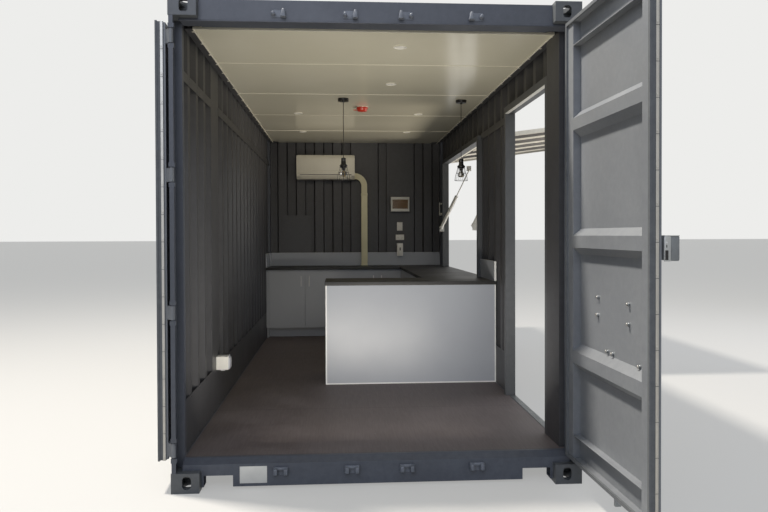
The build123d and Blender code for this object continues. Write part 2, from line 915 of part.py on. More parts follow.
# Cargo doors. The left leaf stands folded back along the side wall, the right one straight out
left_plane = Plane(
    origin=(pin_x, pin_y, 0),
    x_dir=(-sin(radians(left_door_open)), -cos(radians(left_door_open)), 0),
    z_dir=(0, 0, 1),
)
right_plane = Plane(
    origin=(pin_x, -pin_y, 0),
    x_dir=(-sin(radians(right_door_open)), cos(radians(right_door_open)), 0),
    z_dir=(0, 0, 1),
)
left_door_leaf = door_leaf(left_plane, 1)
left_door_leaf.part.label = "left_door_leaf"
export_step(left_door_leaf.part, "parts/left_door_leaf.step")

right_door_leaf = door_leaf(right_plane, -1)
right_door_leaf.part.label = "right_door_leaf"
export_step(right_door_leaf.part, "parts/right_door_leaf.step")

left_door_gasket = door_gasket(left_plane, 1)
left_door_gasket.part.label = "left_door_gasket"
export_step(left_door_gasket.part, "parts/left_door_gasket.step")

right_door_gasket = door_gasket(right_plane, -1)
right_door_gasket.part.label = "right_door_gasket"
export_step(right_door_gasket.part, "parts/right_door_gasket.step")

left_hinge_blades = hinge_blades(left_plane, 1)
left_hinge_blades.part.label = "left_hinge_blades"
export_step(left_hinge_blades.part, "parts/left_hinge_blades.step")

right_hinge_blades = hinge_blades(right_plane, -1)
right_hinge_blades.part.label = "right_hinge_blades"
export_step(right_hinge_blades.part, "parts/right_hinge_blades.step")

left_lock_rods = lock_rods(left_plane, 1)
left_lock_rods.part.label = "left_lock_rods"
export_step(left_lock_rods.part, "parts/left_lock_rods.step")

right_lock_rods = lock_rods(right_plane, -1)
right_lock_rods.part.label = "right_lock_rods"
export_step(right_lock_rods.part, "parts/right_lock_rods.step")

# Padlock shroud on the right leaf's outer face, open below, on a bracket
box_s = leaf_free_edge - lock_box_size[0] / 2
box_n = leaf_stand_off - lock_box_bracket[2] - lock_box_size[2] / 2
box_z = lock_box_bottom + lock_box_size[1] / 2
with BuildPart(right_plane) as lock_box:
    with Locations((box_s, -box_n, box_z)):
        Box(lock_box_size[0], lock_box_size[2], lock_box_size[1])
    with Locations((box_s, -box_n, box_z - lock_box_plate)):
        Box(
            lock_box_size[0] - 2 * lock_box_plate,
            lock_box_size[2] - 2 * lock_box_plate,
            lock_box_size[1],
            mode=Mode.SUBTRACT,
        )
    with Locations((box_s, -(leaf_stand_off - lock_box_bracket[2] / 2), box_z)):
        Box(lock_box_bracket[0], lock_box_bracket[2], lock_box_bracket[1])
lock_box.part.label = "lock_box"
export_step(lock_box.part, "parts/lock_box.step")

# Cam keepers on the header and the sill, two prongs on a plate at each bar
sill_face = behind_doors(sill_front)
with BuildPart() as cam_keepers:
    for side_sign in (-1, 1):
        for offset_from_centre in rod_offsets:
            for bottom in keeper_bottoms:
                keeper_y = side_sign * offset_from_centre
                keeper_z = bottom + keeper_height / 2
                with Locations((sill_face - keeper_plate[1] / 2, keeper_y, keeper_z)):
                    Box(keeper_plate[1], keeper_plate[0], keeper_height)
                for turn in (-1, 1):
                    with Locations(
                        (
                            sill_face - keeper_reach / 2,
                            keeper_y + turn * keeper_pitch / 2,
                            keeper_z,
                        )
                    ):
                        Box(keeper_reach, keeper_prong, keeper_height)
cam_keepers.part.label = "cam_keepers"
export_step(cam_keepers.part, "parts/cam_keepers.step")

# Serving hatch flap, standing open: it falls outward from its hinges over the hatch
flap_plane = Plane(
    origin=(hatch_middle, -(wall_outer + flap_pivot_out), flap_pivot_height),
    x_dir=(1, 0, 0),
    z_dir=(0, sin(radians(flap_fall)), cos(radians(flap_fall))),
)
flap_width = hatch_outer[1] - hatch_outer[0]
flap_inner_length = flap_length - flap_gap - 2 * flap_tube
with BuildPart(flap_plane) as hatch_flap_frame:
    for inset in (0, flap_tube_wall):
        with BuildSketch(flap_plane.offset(-flap_tube / 2 + inset)):
            with Locations((0, -(flap_gap + flap_length) / 2)):
                Rectangle(flap_width - 2 * inset, flap_length - flap_gap - 2 * inset)
                Rectangle(
                    flap_width - 2 * flap_tube + 2 * inset,
                    flap_inner_length + 2 * inset,
                    mode=Mode.SUBTRACT,
                )
        extrude(
            amount=flap_tube - 2 * inset,
            mode=Mode.ADD if inset == 0 else Mode.SUBTRACT,
        )
    for number in range(flap_hinges):
        x = (number - (flap_hinges - 1) / 2) * flap_width / flap_hinges
        with Locations((x, 0, 0)):
            Cylinder(flap_pivot_out - 0.5, flap_hinge_length, rotation=(0, 90, 0))
hatch_flap_frame.part.label = "hatch_flap_frame"
export_step(hatch_flap_frame.part, "parts/hatch_flap_frame.step")

# Flap sheet: pressed with wide flat bands facing down
band_drop = flap_tube - sheet
flap_clear_width = flap_width - 2 * flap_tube
flap_wave = corrugation(
    -flap_clear_width / 2,
    flap_clear_width / 2,
    flap_band_pitch,
    flap_band_pitch - flap_band_width - 2 * flap_band_web,
    flap_band_web,
    band_drop,
    flap_band_pitch / 2,
)
with BuildPart() as hatch_flap_sheet:
    with BuildSketch(
        Plane(
            origin=flap_plane.from_local_coords((0, -(flap_gap + flap_tube), -flap_tube / 2)),
            x_dir=flap_plane.x_dir,
            z_dir=flap_plane.y_dir * -1,
        )
    ):
        with BuildLine():
            Polyline(*[(x, y) for x, y in sheet_outline(flap_wave, sheet)], close=True)
        make_face()
    extrude(amount=flap_inner_length)
hatch_flap_sheet.part.label = "hatch_flap_sheet"
export_step(hatch_flap_sheet.part, "parts/hatch_flap_sheet.step")

# Gas struts: body below, rod above, on ball studs from the hatch's jambs to the flap's side tubes
with BuildPart() as gas_struts:
    for jamb, turn in ((hatch_near, 1), (hatch_far, -1)):
        strut_x = behind_doors(jamb + turn * strut_inset)
        lower = Vector(strut_x, -strut_lower[0], strut_lower[1])
        upper = Vector(strut_x, -strut_upper[0], strut_upper[1])
        along = (upper - lower).normalized()
        with BuildSketch(Plane(origin=lower, z_dir=along)):
            Circle(strut_rod_radius)
        extrude(amount=(upper - lower).length)
        with BuildSketch(Plane(origin=lower + along * ball_radius, z_dir=along)):
            Circle(strut_body_radius)
        extrude(amount=strut_body_length)
        with Locations(lower, upper):
            Sphere(ball_radius)
        for end, plate_y, plate_z in (
            (lower, -strut_lower[0] - 20, strut_lower[1]),
            (upper, -strut_upper[0], strut_upper[1] + 22),
        ):
            with Locations((end.X - turn * strut_inset / 2, end.Y, end.Z)):
                Cylinder(strut_rod_radius, strut_inset, rotation=(0, 90, 0))
            with Locations((behind_doors(jamb) + turn * strut_bracket / 2, plate_y, plate_z)):
                Box(strut_bracket, 60, 66)
gas_struts.part.label = "gas_struts"
export_step(gas_struts.part, "parts/gas_struts.step")

# Skirting plates and the flat bars high on the walls, on the sheet's inner crests
left_plate_from = cover_first_trough - (wall_pitch + wall_crest) / 2
left_plate_to = cover_first_trough + (wall_pitch + wall_crest) / 2
with BuildPart() as wall_rails:
    for side_sign, start, end, bottom, top, thickness in (
        (1, casting_length, wall_end, floor_top, skirting_top, skirting_plate),
        (-1, doorway_outer[1], hatch_outer[0], floor_top, skirting_top, skirting_plate),
        (1, casting_length, left_plate_from, batten_bottom, batten_top, batten_plate),
        (1, left_plate_to, wall_end, batten_bottom, batten_top, batten_plate),
        (-1, doorway_outer[1], hatch_outer[0], batten_bottom, batten_top, batten_plate),
    ):
        with Locations(
            (
                behind_doors((start + end) / 2),
                side_sign * (inner_crest - thickness / 2),
                (bottom + top) / 2,
            )
        ):
            Box(end - start, thickness, top - bottom)
wall_rails.part.label = "wall_rails"
export_step(wall_rails.part, "parts/wall_rails.step")

# Cover plates over the wiring: one on the left wall, two and an access plate on the end wall
end_plane_x = behind_doors(end_inner_crest)
with BuildPart() as cover_plates:
    with Locations(
        (
            behind_doors(cover_first_trough),
            inner_crest - cover_plate / 2,
            (skirting_top + lining_top) / 2,
        )
    ):
        Box(left_plate_to - left_plate_from, cover_plate, lining_top - skirting_top)
    for centre in back_cover_centres:
        with Locations(
            (end_plane_x - cover_plate / 2, centre, (bench_height + ceiling_height) / 2)
        ):
            Box(cover_plate, end_wall_pitch + end_wall_crest, ceiling_height - bench_height)
    with Locations((end_plane_x - cover_plate / 2, access_plate_at[0], access_plate_at[1])):
        Box(cover_plate, access_plate[0], access_plate[1])
cover_plates.part.label = "cover_plates"
export_step(cover_plates.part, "parts/cover_plates.step")

# Ceiling panels, in rows across the container, bored for the recessed lights
with BuildPart() as ceiling_panels:
    joint = ceiling_front
    panel_ends = [ceiling_pitch * number for number in range(1, 5)] + [wall_end]
    for panel_end in panel_ends:
        with Locations((behind_doors((joint + panel_end) / 2), 0, ceiling_height + ceiling_thickness / 2)):
            Box(panel_end - joint - ceiling_joint, 2 * ceiling_half_width, ceiling_thickness)
        joint = panel_end
    with Locations(
        (
            behind_doors((wall_end - ceiling_joint + end_inner_crest) / 2),
            0,
            ceiling_height + ceiling_thickness / 2,
        )
    ):
        Box(end_inner_crest - wall_end + ceiling_joint, 2 * casting_inner, ceiling_thickness)
    for distance, y in downlights:
        with Locations((behind_doors(distance), y, ceiling_height)):
            Cylinder(downlight_can, 3 * ceiling_thickness, mode=Mode.SUBTRACT)
ceiling_panels.part.label = "ceiling_panels"
export_step(ceiling_panels.part, "parts/ceiling_panels.step")

# Ceiling trim: strips over the panels' edges beside the walls, and a capping on the front edge
with BuildPart() as ceiling_trim:
    for side_sign in (-1, 1):
        with Locations(
            (
                behind_doors((ceiling_front + wall_end) / 2),
                side_sign * (ceiling_half_width - strip_lap + inner_crest) / 2,
                ceiling_height - cover_strip / 2,
            )
        ):
            Box(wall_end - ceiling_front, inner_crest - ceiling_half_width + strip_lap, cover_strip)
        with Locations(
            (
                behind_doors((wall_end + end_inner_crest) / 2),
                side_sign * (casting_inner - strip_lap + opening_half_width) / 2,
                ceiling_height - cover_strip / 2,
            )
        ):
            Box(
                end_inner_crest - wall_end,
                opening_half_width - casting_inner + strip_lap,
                cover_strip,
            )
    capping_bottom = ceiling_height - ceiling_capping_drop
    capping_top = ceiling_height + ceiling_thickness
    with Locations(
        (behind_doors(ceiling_front) - ceiling_capping / 2, 0, (capping_bottom + capping_top) / 2)
    ):
        Box(ceiling_capping, 2 * frame_inner, capping_top - capping_bottom)
ceiling_trim.part.label = "ceiling_trim"
export_step(ceiling_trim.part, "parts/ceiling_trim.step")

# Recessed lights: a flanged can, open below
with BuildPart() as downlight_cans:
    for distance, y in downlights:
        with Locations((behind_doors(distance), y, ceiling_height - downlight_drop / 2)):
            Cylinder(downlight_radius, downlight_drop)
        with Locations((behind_doors(distance), y, ceiling_height + downlight_depth / 2)):
            Cylinder(downlight_can, downlight_depth)
        with Locations(
            (behind_doors(distance), y, ceiling_height - downlight_drop + downlight_recess / 2)
        ):
            Cylinder(downlight_can - downlight_wall, downlight_recess, mode=Mode.SUBTRACT)
downlight_cans.part.label = "downlight_cans"
export_step(downlight_cans.part, "parts/downlight_cans.step")

# Smoke detector under the ceiling
with BuildPart() as smoke_detector:
    with Locations(
        (behind_doors(detector_at[0]), detector_at[1], ceiling_height - detector_height / 2)
    ):
        Cylinder(detector_radius, detector_height)
    fillet(smoke_detector.edges().group_by(Axis.Z)[0], detector_height / 3)
smoke_detector.part.label = "smoke_detector"
export_step(smoke_detector.part, "parts/smoke_detector.step")

# Pendant lights: rose under the ceiling, straight flex, lamp holder with a collar over a bare bulb
flex_top = ceiling_height - rose_height
flex_bottom = flex_top - flex_length
holder_bottom = flex_bottom - holder_height - collar_height - (collar_radius - holder_radius)
with BuildPart() as pendant_roses:
    for distance, y in pendants:
        with Locations((behind_doors(distance), y, ceiling_height - rose_height / 2)):
            Cylinder(rose_radius, rose_height)
pendant_roses.part.label = "pendant_roses"
export_step(pendant_roses.part, "parts/pendant_roses.step")

with BuildPart() as pendant_flex_left:
    with Locations((behind_doors(pendants[0][0]), pendants[0][1], (flex_top + flex_bottom) / 2)):
        Cylinder(flex_radius, flex_length)
pendant_flex_left.part.label = "pendant_flex_left"
export_step(pendant_flex_left.part, "parts/pendant_flex_left.step")

with BuildPart() as pendant_flex_right:
    with Locations((behind_doors(pendants[1][0]), pendants[1][1], (flex_top + flex_bottom) / 2)):
        Cylinder(flex_radius, flex_length)
pendant_flex_right.part.label = "pendant_flex_right"
export_step(pendant_flex_right.part, "parts/pendant_flex_right.step")


def pendant_lamp(distance, y):
    """Lamp holder, flared collar and bulb hanging from one flex."""
    shoulder = holder_bottom + collar_height
    cone = collar_radius - holder_radius
    with BuildPart() as lamp:
        with BuildSketch(Plane((behind_doors(distance), y, 0), x_dir=(1, 0, 0), z_dir=(0, -1, 0))):
            with BuildLine():
                Polyline(
                    (0, flex_bottom),
                    (holder_radius, flex_bottom),
                    (holder_radius, shoulder + cone),
                    (collar_radius, shoulder),
                    (collar_neck, holder_bottom),
                    (collar_neck, holder_bottom - collar_neck),
                    (0, holder_bottom - collar_neck),
                    close=True,
                )
            make_face()
        revolve(axis=Axis((behind_doors(distance), y, 0), (0, 0, 1)))
        with BuildSketch(Plane.XY.offset(holder_bottom)):
            with Locations((behind_doors(distance), y)):
                Circle(bulb_radius)
        extrude(amount=-bulb_height)
    fillet(lamp.edges().group_by(Axis.Z)[0], bulb_radius * 0.9)
    return lamp


pendant_lamp_left = pendant_lamp(*pendants[0])
pendant_lamp_left.part.label = "pendant_lamp_left"
export_step(pendant_lamp_left.part, "parts/pendant_lamp_left.step")

pendant_lamp_right = pendant_lamp(*pendants[1])
pendant_lamp_right.part.label = "pendant_lamp_right"
export_step(pendant_lamp_right.part, "parts/pendant_lamp_right.step")

# Wall cooler high on the end wall, with its covered pipe turning down beside it
cooler_back = end_plane_x - cover_plate
with BuildPart() as air_conditioner:
    with Locations(
        (
            cooler_back - cooler_depth / 2,
            cooler_centre,
            cooler_bottom + cooler_height / 2,
        )
    ):
        Box(cooler_depth, cooler_width, cooler_height)
    front_edges = air_conditioner.edges().filter_by(Axis.Y).group_by(Axis.X)[0]
    fillet(front_edges.sort_by(Axis.Z)[-1], 30)
    chamfer(front_edges.sort_by(Axis.Z)[0], 45, 60)
air_conditioner.part.label = "air_conditioner"
export_step(air_conditioner.part, "parts/air_conditioner.step")

cooler_side = cooler_centre - cooler_width / 2
trunk_x = end_plane_x - cover_plate - board - trunk_depth / 2
with BuildPart() as pipe_trunking:
    with BuildLine(Plane((trunk_x, 0, 0), x_dir=(0, 1, 0), z_dir=(1, 0, 0))) as trunk_path:
        RadiusArc(
            (cooler_side, trunk_level),
            (-trunk_at, trunk_level - trunk_at - cooler_side),
            -trunk_at - cooler_side,
        )
        Line(
            (-trunk_at, trunk_level - trunk_at - cooler_side),
            (-trunk_at, bench_height),
        )
    with BuildSketch(Plane((trunk_x, cooler_side, trunk_level), x_dir=(1, 0, 0), z_dir=(0, -1, 0))):
        Rectangle(trunk_depth, trunk_width)
    sweep(path=trunk_path.line)
pipe_trunking.part.label = "pipe_trunking"
export_step(pipe_trunking.part, "parts/pipe_trunking.step")

# Bench tops: a peninsula, a run under the hatch and over its sill, and a run along the end wall
peninsula_end = counter_front + bench_depth
back_bench_front = end_inner_crest - bench_back_depth
bench_middle = bench_height - bench_thickness / 2
with BuildPart() as bench_top:
    for start, end, low_y, high_y in (
        (counter_front - counter_overhang, peninsula_end, -inner_crest, counter_end + counter_overhang),
        (peninsula_end, back_bench_front, -inner_crest, bench_depth - inner_crest),
        (hatch_near, hatch_far, -wall_outer, -inner_crest),
        (back_bench_front, end_inner_crest, -inner_crest, inner_crest),
    ):
        with Locations((behind_doors((start + end) / 2), (low_y + high_y) / 2, bench_middle)):
            Box(end - start, high_y - low_y, bench_thickness)
    for jamb in (hatch_near - frame_tube / 2, hatch_far + frame_tube / 2):
        with Locations((behind_doors(jamb), -(frame_inner + frame_depth / 2), bench_middle)):
            Box(frame_tube, frame_depth, bench_thickness, mode=Mode.SUBTRACT)
    with Locations((rear, half_width, bench_middle), (rear, -half_width, bench_middle)):
        Box(2 * casting_length, 2 * (half_width - opening_half_width), bench_thickness, mode=Mode.SUBTRACT)
bench_top.part.label = "bench_top"
export_step(bench_top.part, "parts/bench_top.step")

# Upstand on the bench along the walls, cut out behind the lower outlet
upstand_middle = bench_height + upstand_height / 2
upstand_back = end_inner_crest - cover_plate
outlet_y, outlet_z = low_outlet_at
with BuildPart() as upstand:
    for start, end, low_y, high_y in (
        (upstand_back - board, upstand_back, -opening_half_width, opening_half_width),
        (back_bench_front, wall_end, inner_crest - board, inner_crest),
        (wall_end - board, upstand_back, opening_half_width - board, opening_half_width),
        (counter_front, hatch_outer[0], -inner_crest, board - inner_crest),
    ):
        with Locations((behind_doors((start + end) / 2), (low_y + high_y) / 2, upstand_middle)):
            Box(end - start, high_y - low_y, upstand_height)
    with Locations((end_plane_x - cover_plate, outlet_y, outlet_z)):
        Box(4 * board, low_outlet_size[0], low_outlet_size[1], mode=Mode.SUBTRACT)
upstand.part.label = "upstand"
export_step(upstand.part, "parts/upstand.step")

# Counter panels: front, end and inner panel of the peninsula, and the inner panel below the hatch
under_bench = bench_height - bench_thickness
panel_y = -inner_crest + skirting_plate
with BuildPart() as counter_panels:
    for start, end, low_y, high_y in (
        (counter_front, counter_front + board, panel_y, counter_end),
        (counter_front + board, peninsula_end - counter_overhang, counter_end - board, counter_end),
        (
            peninsula_end - counter_overhang - board,
            peninsula_end - counter_overhang,
            bench_depth - inner_crest - counter_overhang,
            counter_end - board,
        ),
        (
            peninsula_end - counter_overhang - board,
            back_bench_front + board,
            bench_depth - inner_crest - counter_overhang - board,
            bench_depth - inner_crest - counter_overhang,
        ),
    ):
        with Locations(
            (behind_doors((start + end) / 2), (low_y + high_y) / 2, (floor_top + under_bench) / 2)
        ):
            Box(end - start, high_y - low_y, under_bench - floor_top)
counter_panels.part.label = "counter_panels"
export_step(counter_panels.part, "parts/counter_panels.step")

# Base cabinet below the end bench: boards round a hollow, on a recessed plinth
carcass_front = back_bench_front + bench_overhang + board
carcass_back = wall_end
carcass_low_y = bench_depth - inner_crest - counter_overhang
carcass_high_y = opening_half_width
carcass_bottom = floor_top + cabinet_base
carcass_middle = behind_doors((carcass_front + carcass_back) / 2)
with BuildPart() as base_cabinet:
    for low_y, high_y in (
        (carcass_low_y, carcass_low_y + board),
        (carcass_high_y - board, carcass_high_y),
    ):
        with Locations((carcass_middle, (low_y + high_y) / 2, (floor_top + under_bench) / 2)):
            Box(carcass_back - carcass_front, board, under_bench - floor_top)
    for x, depth, low, high in (
        (carcass_middle, carcass_back - carcass_front, carcass_bottom, carcass_bottom + board),
        (carcass_middle, carcass_back - carcass_front, cabinet_shelf, cabinet_shelf + board),
        (
            behind_doors(carcass_back) - board / 2,
            board,
            floor_top,
            under_bench,
        ),
        (
            behind_doors(carcass_front + kick_recess + board / 2),
            board,
            floor_top,
            carcass_bottom,
        ),
    ):
        with Locations((x, (carcass_low_y + carcass_high_y) / 2, (low + high) / 2)):
            Box(depth, carcass_high_y - carcass_low_y, high - low)
    with Locations(
        (
            behind_doors(carcass_front + 40),
            (carcass_low_y + carcass_high_y) / 2,
            under_bench - board / 2,
        )
    ):
        Box(80, carcass_high_y - carcass_low_y, board)
base_cabinet.part.label = "base_cabinet"
export_step(base_cabinet.part, "parts/base_cabinet.step")

# Cabinet doors, from a filler at the left wall to the run below the hatch
with BuildPart() as cabinet_doors:
    door_y = inner_crest - cabinet_filler
    door_edges = [inner_crest - skirting_plate, door_y]
    while door_y - cabinet_door > carcass_low_y:
        door_y -= cabinet_door
        door_edges.append(door_y)
    door_edges.append(carcass_low_y)
    for high_y, low_y in zip(door_edges, door_edges[1:]):
        with Locations(
            (
                behind_doors(carcass_front - board / 2),
                (high_y + low_y) / 2,
                (carcass_bottom + under_bench - cabinet_gap) / 2,
            )
        ):
            Box(
                board,
                high_y - low_y - cabinet_gap,
                under_bench - cabinet_gap - carcass_bottom,
            )
cabinet_doors.part.label = "cabinet_doors"
export_step(cabinet_doors.part, "parts/cabinet_doors.step")

# D handles in pairs, either side of the joint between two doors
door_face = behind_doors(carcass_front - board)
with BuildPart() as cabinet_handles:
    for joint_y in (door_edges[2], door_edges[4]):
        for turn in (-1, 1):
            handle_y = joint_y + turn * handle_in
            with Locations((door_face - handle_stand, handle_y, cabinet_handle_height)):
                Cylinder(cabinet_bar / 2, handle_span + cabinet_bar)
            for lift in (-1, 1):
                with Locations(
                    (
                        door_face - handle_stand / 2,
                        handle_y,
                        cabinet_handle_height + lift * handle_span / 2,
                    )
                ):
                    Cylinder(cabinet_bar / 2, handle_stand, rotation=(0, 90, 0))
cabinet_handles.part.label = "cabinet_handles"
export_step(cabinet_handles.part, "parts/cabinet_handles.step")

# Switchboard with a hinged window, on the end wall's cover plate
with BuildPart() as switchboard:
    with Locations(
        (
            cooler_back - switchboard_size[2] / 2,
            switchboard_at[0],
            switchboard_at[1],
        )
    ):
        Box(switchboard_size[2], switchboard_size[0], switchboard_size[1])
    fillet(switchboard.edges().group_by(Axis.X)[0], 10)
switchboard.part.label = "switchboard"
export_step(switchboard.part, "parts/switchboard.step")

# Switches and outlets on the end wall, and a weatherproof outlet low on the left wall
with BuildPart() as wall_outlets:
    for y, z, width, height, depth in (
        (switch_at[0], switch_at[1], switch_size[0], switch_size[1], switch_size[2]),
        (outlet_at[0], outlet_at[1], outlet_size[0], outlet_size[1], outlet_size[2]),
        (outlet_y, outlet_z, low_outlet_size[0], low_outlet_size[1], low_outlet_size[2]),
    ):
        with Locations((cooler_back - depth / 2, y, z)):
            Box(depth, width, height)
    with Locations(
        (
            behind_doors(side_outlet_at[0]),
            inner_crest - skirting_plate - side_outlet_size[1] / 2,
            side_outlet_at[1],
        )
    ):
        Box(side_outlet_size[0], side_outlet_size[1], side_outlet_size[2])
wall_outlets.part.label = "wall_outlets"
export_step(wall_outlets.part, "parts/wall_outlets.step")
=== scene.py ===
import math

import bmesh
import bpy
from mathutils import Matrix, Vector


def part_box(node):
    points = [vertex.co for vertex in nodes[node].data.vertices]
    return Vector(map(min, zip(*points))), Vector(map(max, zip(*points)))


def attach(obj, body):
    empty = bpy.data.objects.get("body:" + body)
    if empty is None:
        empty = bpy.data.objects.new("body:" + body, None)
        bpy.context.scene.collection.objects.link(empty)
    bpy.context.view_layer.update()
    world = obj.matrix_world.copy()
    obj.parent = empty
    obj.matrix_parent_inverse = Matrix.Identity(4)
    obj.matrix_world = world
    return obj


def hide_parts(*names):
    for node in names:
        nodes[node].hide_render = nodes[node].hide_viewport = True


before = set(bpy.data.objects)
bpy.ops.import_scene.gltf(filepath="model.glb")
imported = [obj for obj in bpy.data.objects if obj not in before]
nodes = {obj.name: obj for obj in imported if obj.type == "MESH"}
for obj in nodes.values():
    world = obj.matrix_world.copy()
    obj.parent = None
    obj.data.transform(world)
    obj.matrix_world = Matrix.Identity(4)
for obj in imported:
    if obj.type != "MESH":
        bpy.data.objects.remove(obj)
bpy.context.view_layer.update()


# The view is the photograph's own: from in front of the open cargo doors, at a standing person's
# eye height, a little left of the middle and turned slightly right.
def view_direction(turn_right, tip_down):
    """Unit vector along +X, turned right and tipped down by these angles in radians."""
    return Vector(
        (
            math.cos(turn_right) * math.cos(tip_down),
            -math.sin(turn_right) * math.cos(tip_down),
            -math.sin(tip_down),
        )
    )


focal_pixels = 757.61
photo_width = 768
photo_height = 512
centre_x = 390.41
centre_y = 245.95
camera_data = bpy.data.cameras.new("photo_view")
camera_data.lens = focal_pixels * camera_data.sensor_width / photo_width
camera_data.shift_x = -(centre_x - photo_width / 2) / photo_width
camera_data.shift_y = (centre_y - photo_height / 2) / photo_width
camera = bpy.data.objects.new("photo_view", camera_data)
bpy.context.scene.collection.objects.link(camera)
ahead = view_direction(0.0688, 0.0147)
across = ahead.cross(Vector((0, 0, 1))).normalized()
roll = Matrix.Rotation(0.0032, 3, ahead)
across = roll @ across
upward = across.cross(ahead)
camera.matrix_world = Matrix(
    (
        (across.x, upward.x, -ahead.x, -7.4884),
        (across.y, upward.y, -ahead.y, 0.2426),
        (across.z, upward.z, -ahead.z, 1.5048),
        (0, 0, 0, 1),
    )
)
bpy.context.scene.camera = camera
bpy.context.scene.view_settings.view_transform = "Standard"


# Studio: a pale floor, a pale sky and soft panel lamps. The floor glows a little where it is looked
# at, which keeps it pale at a distance, and it takes the object's shadow.
def colour(code):
    """A colour written as six hex digits of sRGB, as Blender's linear values."""
    channels = [int(code[start : start + 2], 16) / 255 for start in (0, 2, 4)]
    linear = [c / 12.92 if c <= 0.04045 else ((c + 0.055) / 1.055) ** 2.4 for c in channels]
    return (*linear, 1)


def feed(material, shader, wires):
    """Sets a node's inputs: each is a value, or a link from another node's output."""
    for name, value in wires.items():
        if isinstance(value, bpy.types.NodeSocket):
            material.node_tree.links.new(value, shader.inputs[name])
        else:
            shader.inputs[name].default_value = value


def node(material, kind, wires=None, **settings):
    """Adds a shader node of a kind: settings are its own properties, wires its inputs."""
    added = material.node_tree.nodes.new("ShaderNode" + kind)
    for name, value in settings.items():
        setattr(added, name, value)
    feed(material, added, wires or {})
    return added


def select_nothing():
    """Deselects everything, so an operator acts only on what is added next."""
    if bpy.context.mode != "OBJECT":
        bpy.ops.object.mode_set(mode="OBJECT")
    bpy.ops.object.select_all(action="DESELECT")


def pick(piece):
    """Selects one piece alone and makes it the active one."""
    select_nothing()
    piece.select_set(True)
    bpy.context.view_layer.objects.active = piece


select_nothing()
bpy.ops.mesh.primitive_plane_add(size=400, location=(0, 0, 0))
studio_floor = bpy.context.object
studio_floor.name = "studio_floor"
bpy.ops.object.transform_apply(location=True, rotation=True, scale=True)
floor_paint = bpy.data.materials.new("studio_floor")
floor_paint.use_nodes = True
world = bpy.data.worlds.new("studio")
world.use_nodes = True
bpy.context.scene.world = world


def seen_directly(material):
    """1 where the camera sees the studio, also in a mirror or through glass, else 0."""
    rays = node(material, "LightPath")
    through = node(
        material,
        "Math",
        {0: rays.outputs["Is Camera Ray"], 1: rays.outputs["Is Transmission Ray"]},
        operation="MAXIMUM",
    )
    return node(
        material, "Math", {0: through.outputs[0], 1: rays.outputs["Is Glossy Ray"]}, operation="MAXIMUM"
    )


glow = node(floor_paint, "MapRange", {0: seen_directly(floor_paint).outputs[0], 3: 0.0, 4: 0.42})
feed(
    floor_paint,
    floor_paint.node_tree.nodes["Principled BSDF"],
    {
        "Base Color": colour("8f8e8b"),
        "Roughness": 0.9,
        "Emission Color": colour("ededeb"),
        "Emission Strength": glow.outputs[0],
    },
)
studio_floor.data.materials.append(floor_paint)

seen = seen_directly(world).outputs[0]
sky = node(world, "Mix", {0: seen, 6: colour("cfd6df"), 7: colour("ededeb")}, data_type="RGBA")
strength = node(world, "MapRange", {0: seen, 3: 0.48, 4: 1.0})
feed(world, world.node_tree.nodes["Background"], {"Color": sky.outputs[2], "Strength": strength.outputs[0]})


def soft_lamp(name, place, aim, size, watts, tint, beam=180):
    """A soft panel lamp that the camera doesn't see, facing a point, with a beam in degrees."""
    lamp_data = bpy.data.lights.new(name, "AREA")
    lamp_data.shape = "RECTANGLE"
    lamp_data.size, lamp_data.size_y = size
    lamp_data.energy = watts
    lamp_data.spread = math.radians(beam)
    lamp_data.color = colour(tint)[:3]
    lamp = bpy.data.objects.new(name, lamp_data)
    lamp.location = place
    lamp.rotation_euler = (Vector(aim) - Vector(place)).to_track_quat("-Z", "Y").to_euler()
    lamp.visible_camera = False
    bpy.context.scene.collection.objects.link(lamp)
    return lamp


# One lamp high above the left side gives the shadows. Two stand for the open sky. The low one in the
# doorway throws light in and up as the sunlit yard does, one lifts the far end, and one under the
# flap lights its bands.
soft_lamp("key_above", (-1.65, 3.98, 11.49), (-3.4, -0.6, 1.2), (0.8, 0.8), 2500, "fff8ee")
soft_lamp("sky_front", (-10.5, 1.5, 5.5), (-3.0, 0.0, 1.2), (5.0, 4.0), 210, "dfe8ff")
soft_lamp("sky_serving", (1.5, -8.5, 5.0), (0.0, -1.0, 1.0), (6.0, 4.0), 160, "e8eeff")
soft_lamp("door_bounce", (-2.80, 0.0, 0.28), (-1.42, 0.0, 1.86), (1.5, 0.24), 28, "fff8ec", 140)
soft_lamp("room_glow", (1.0, 0.2, 2.70), (2.9, 0.1, 1.6), (1.6, 0.3), 2.5, "fff4e4", 120)
soft_lamp("hatch_glow", (1.2, -3.4, 0.5), (1.0, -0.6, 2.77), (2.6, 1.0), 20, "fff4e4", 80)


# Corner castings: cast steel blocks with lock apertures, welded to the frame and painted with it.
# The seams from castings to posts and rails are beads of weld, built up of overlapping ripples.
def behind_doors(distance):
    """X of a point so far behind the door end's face."""
    return distance - 3.029


def start_material(name):
    """A new material, its surface node and the object's own coordinates."""
    material = bpy.data.materials.new(name)
    material.use_nodes = True
    surface = material.node_tree.nodes["Principled BSDF"]
    return material, surface, node(material, "TexCoord").outputs["Object"]


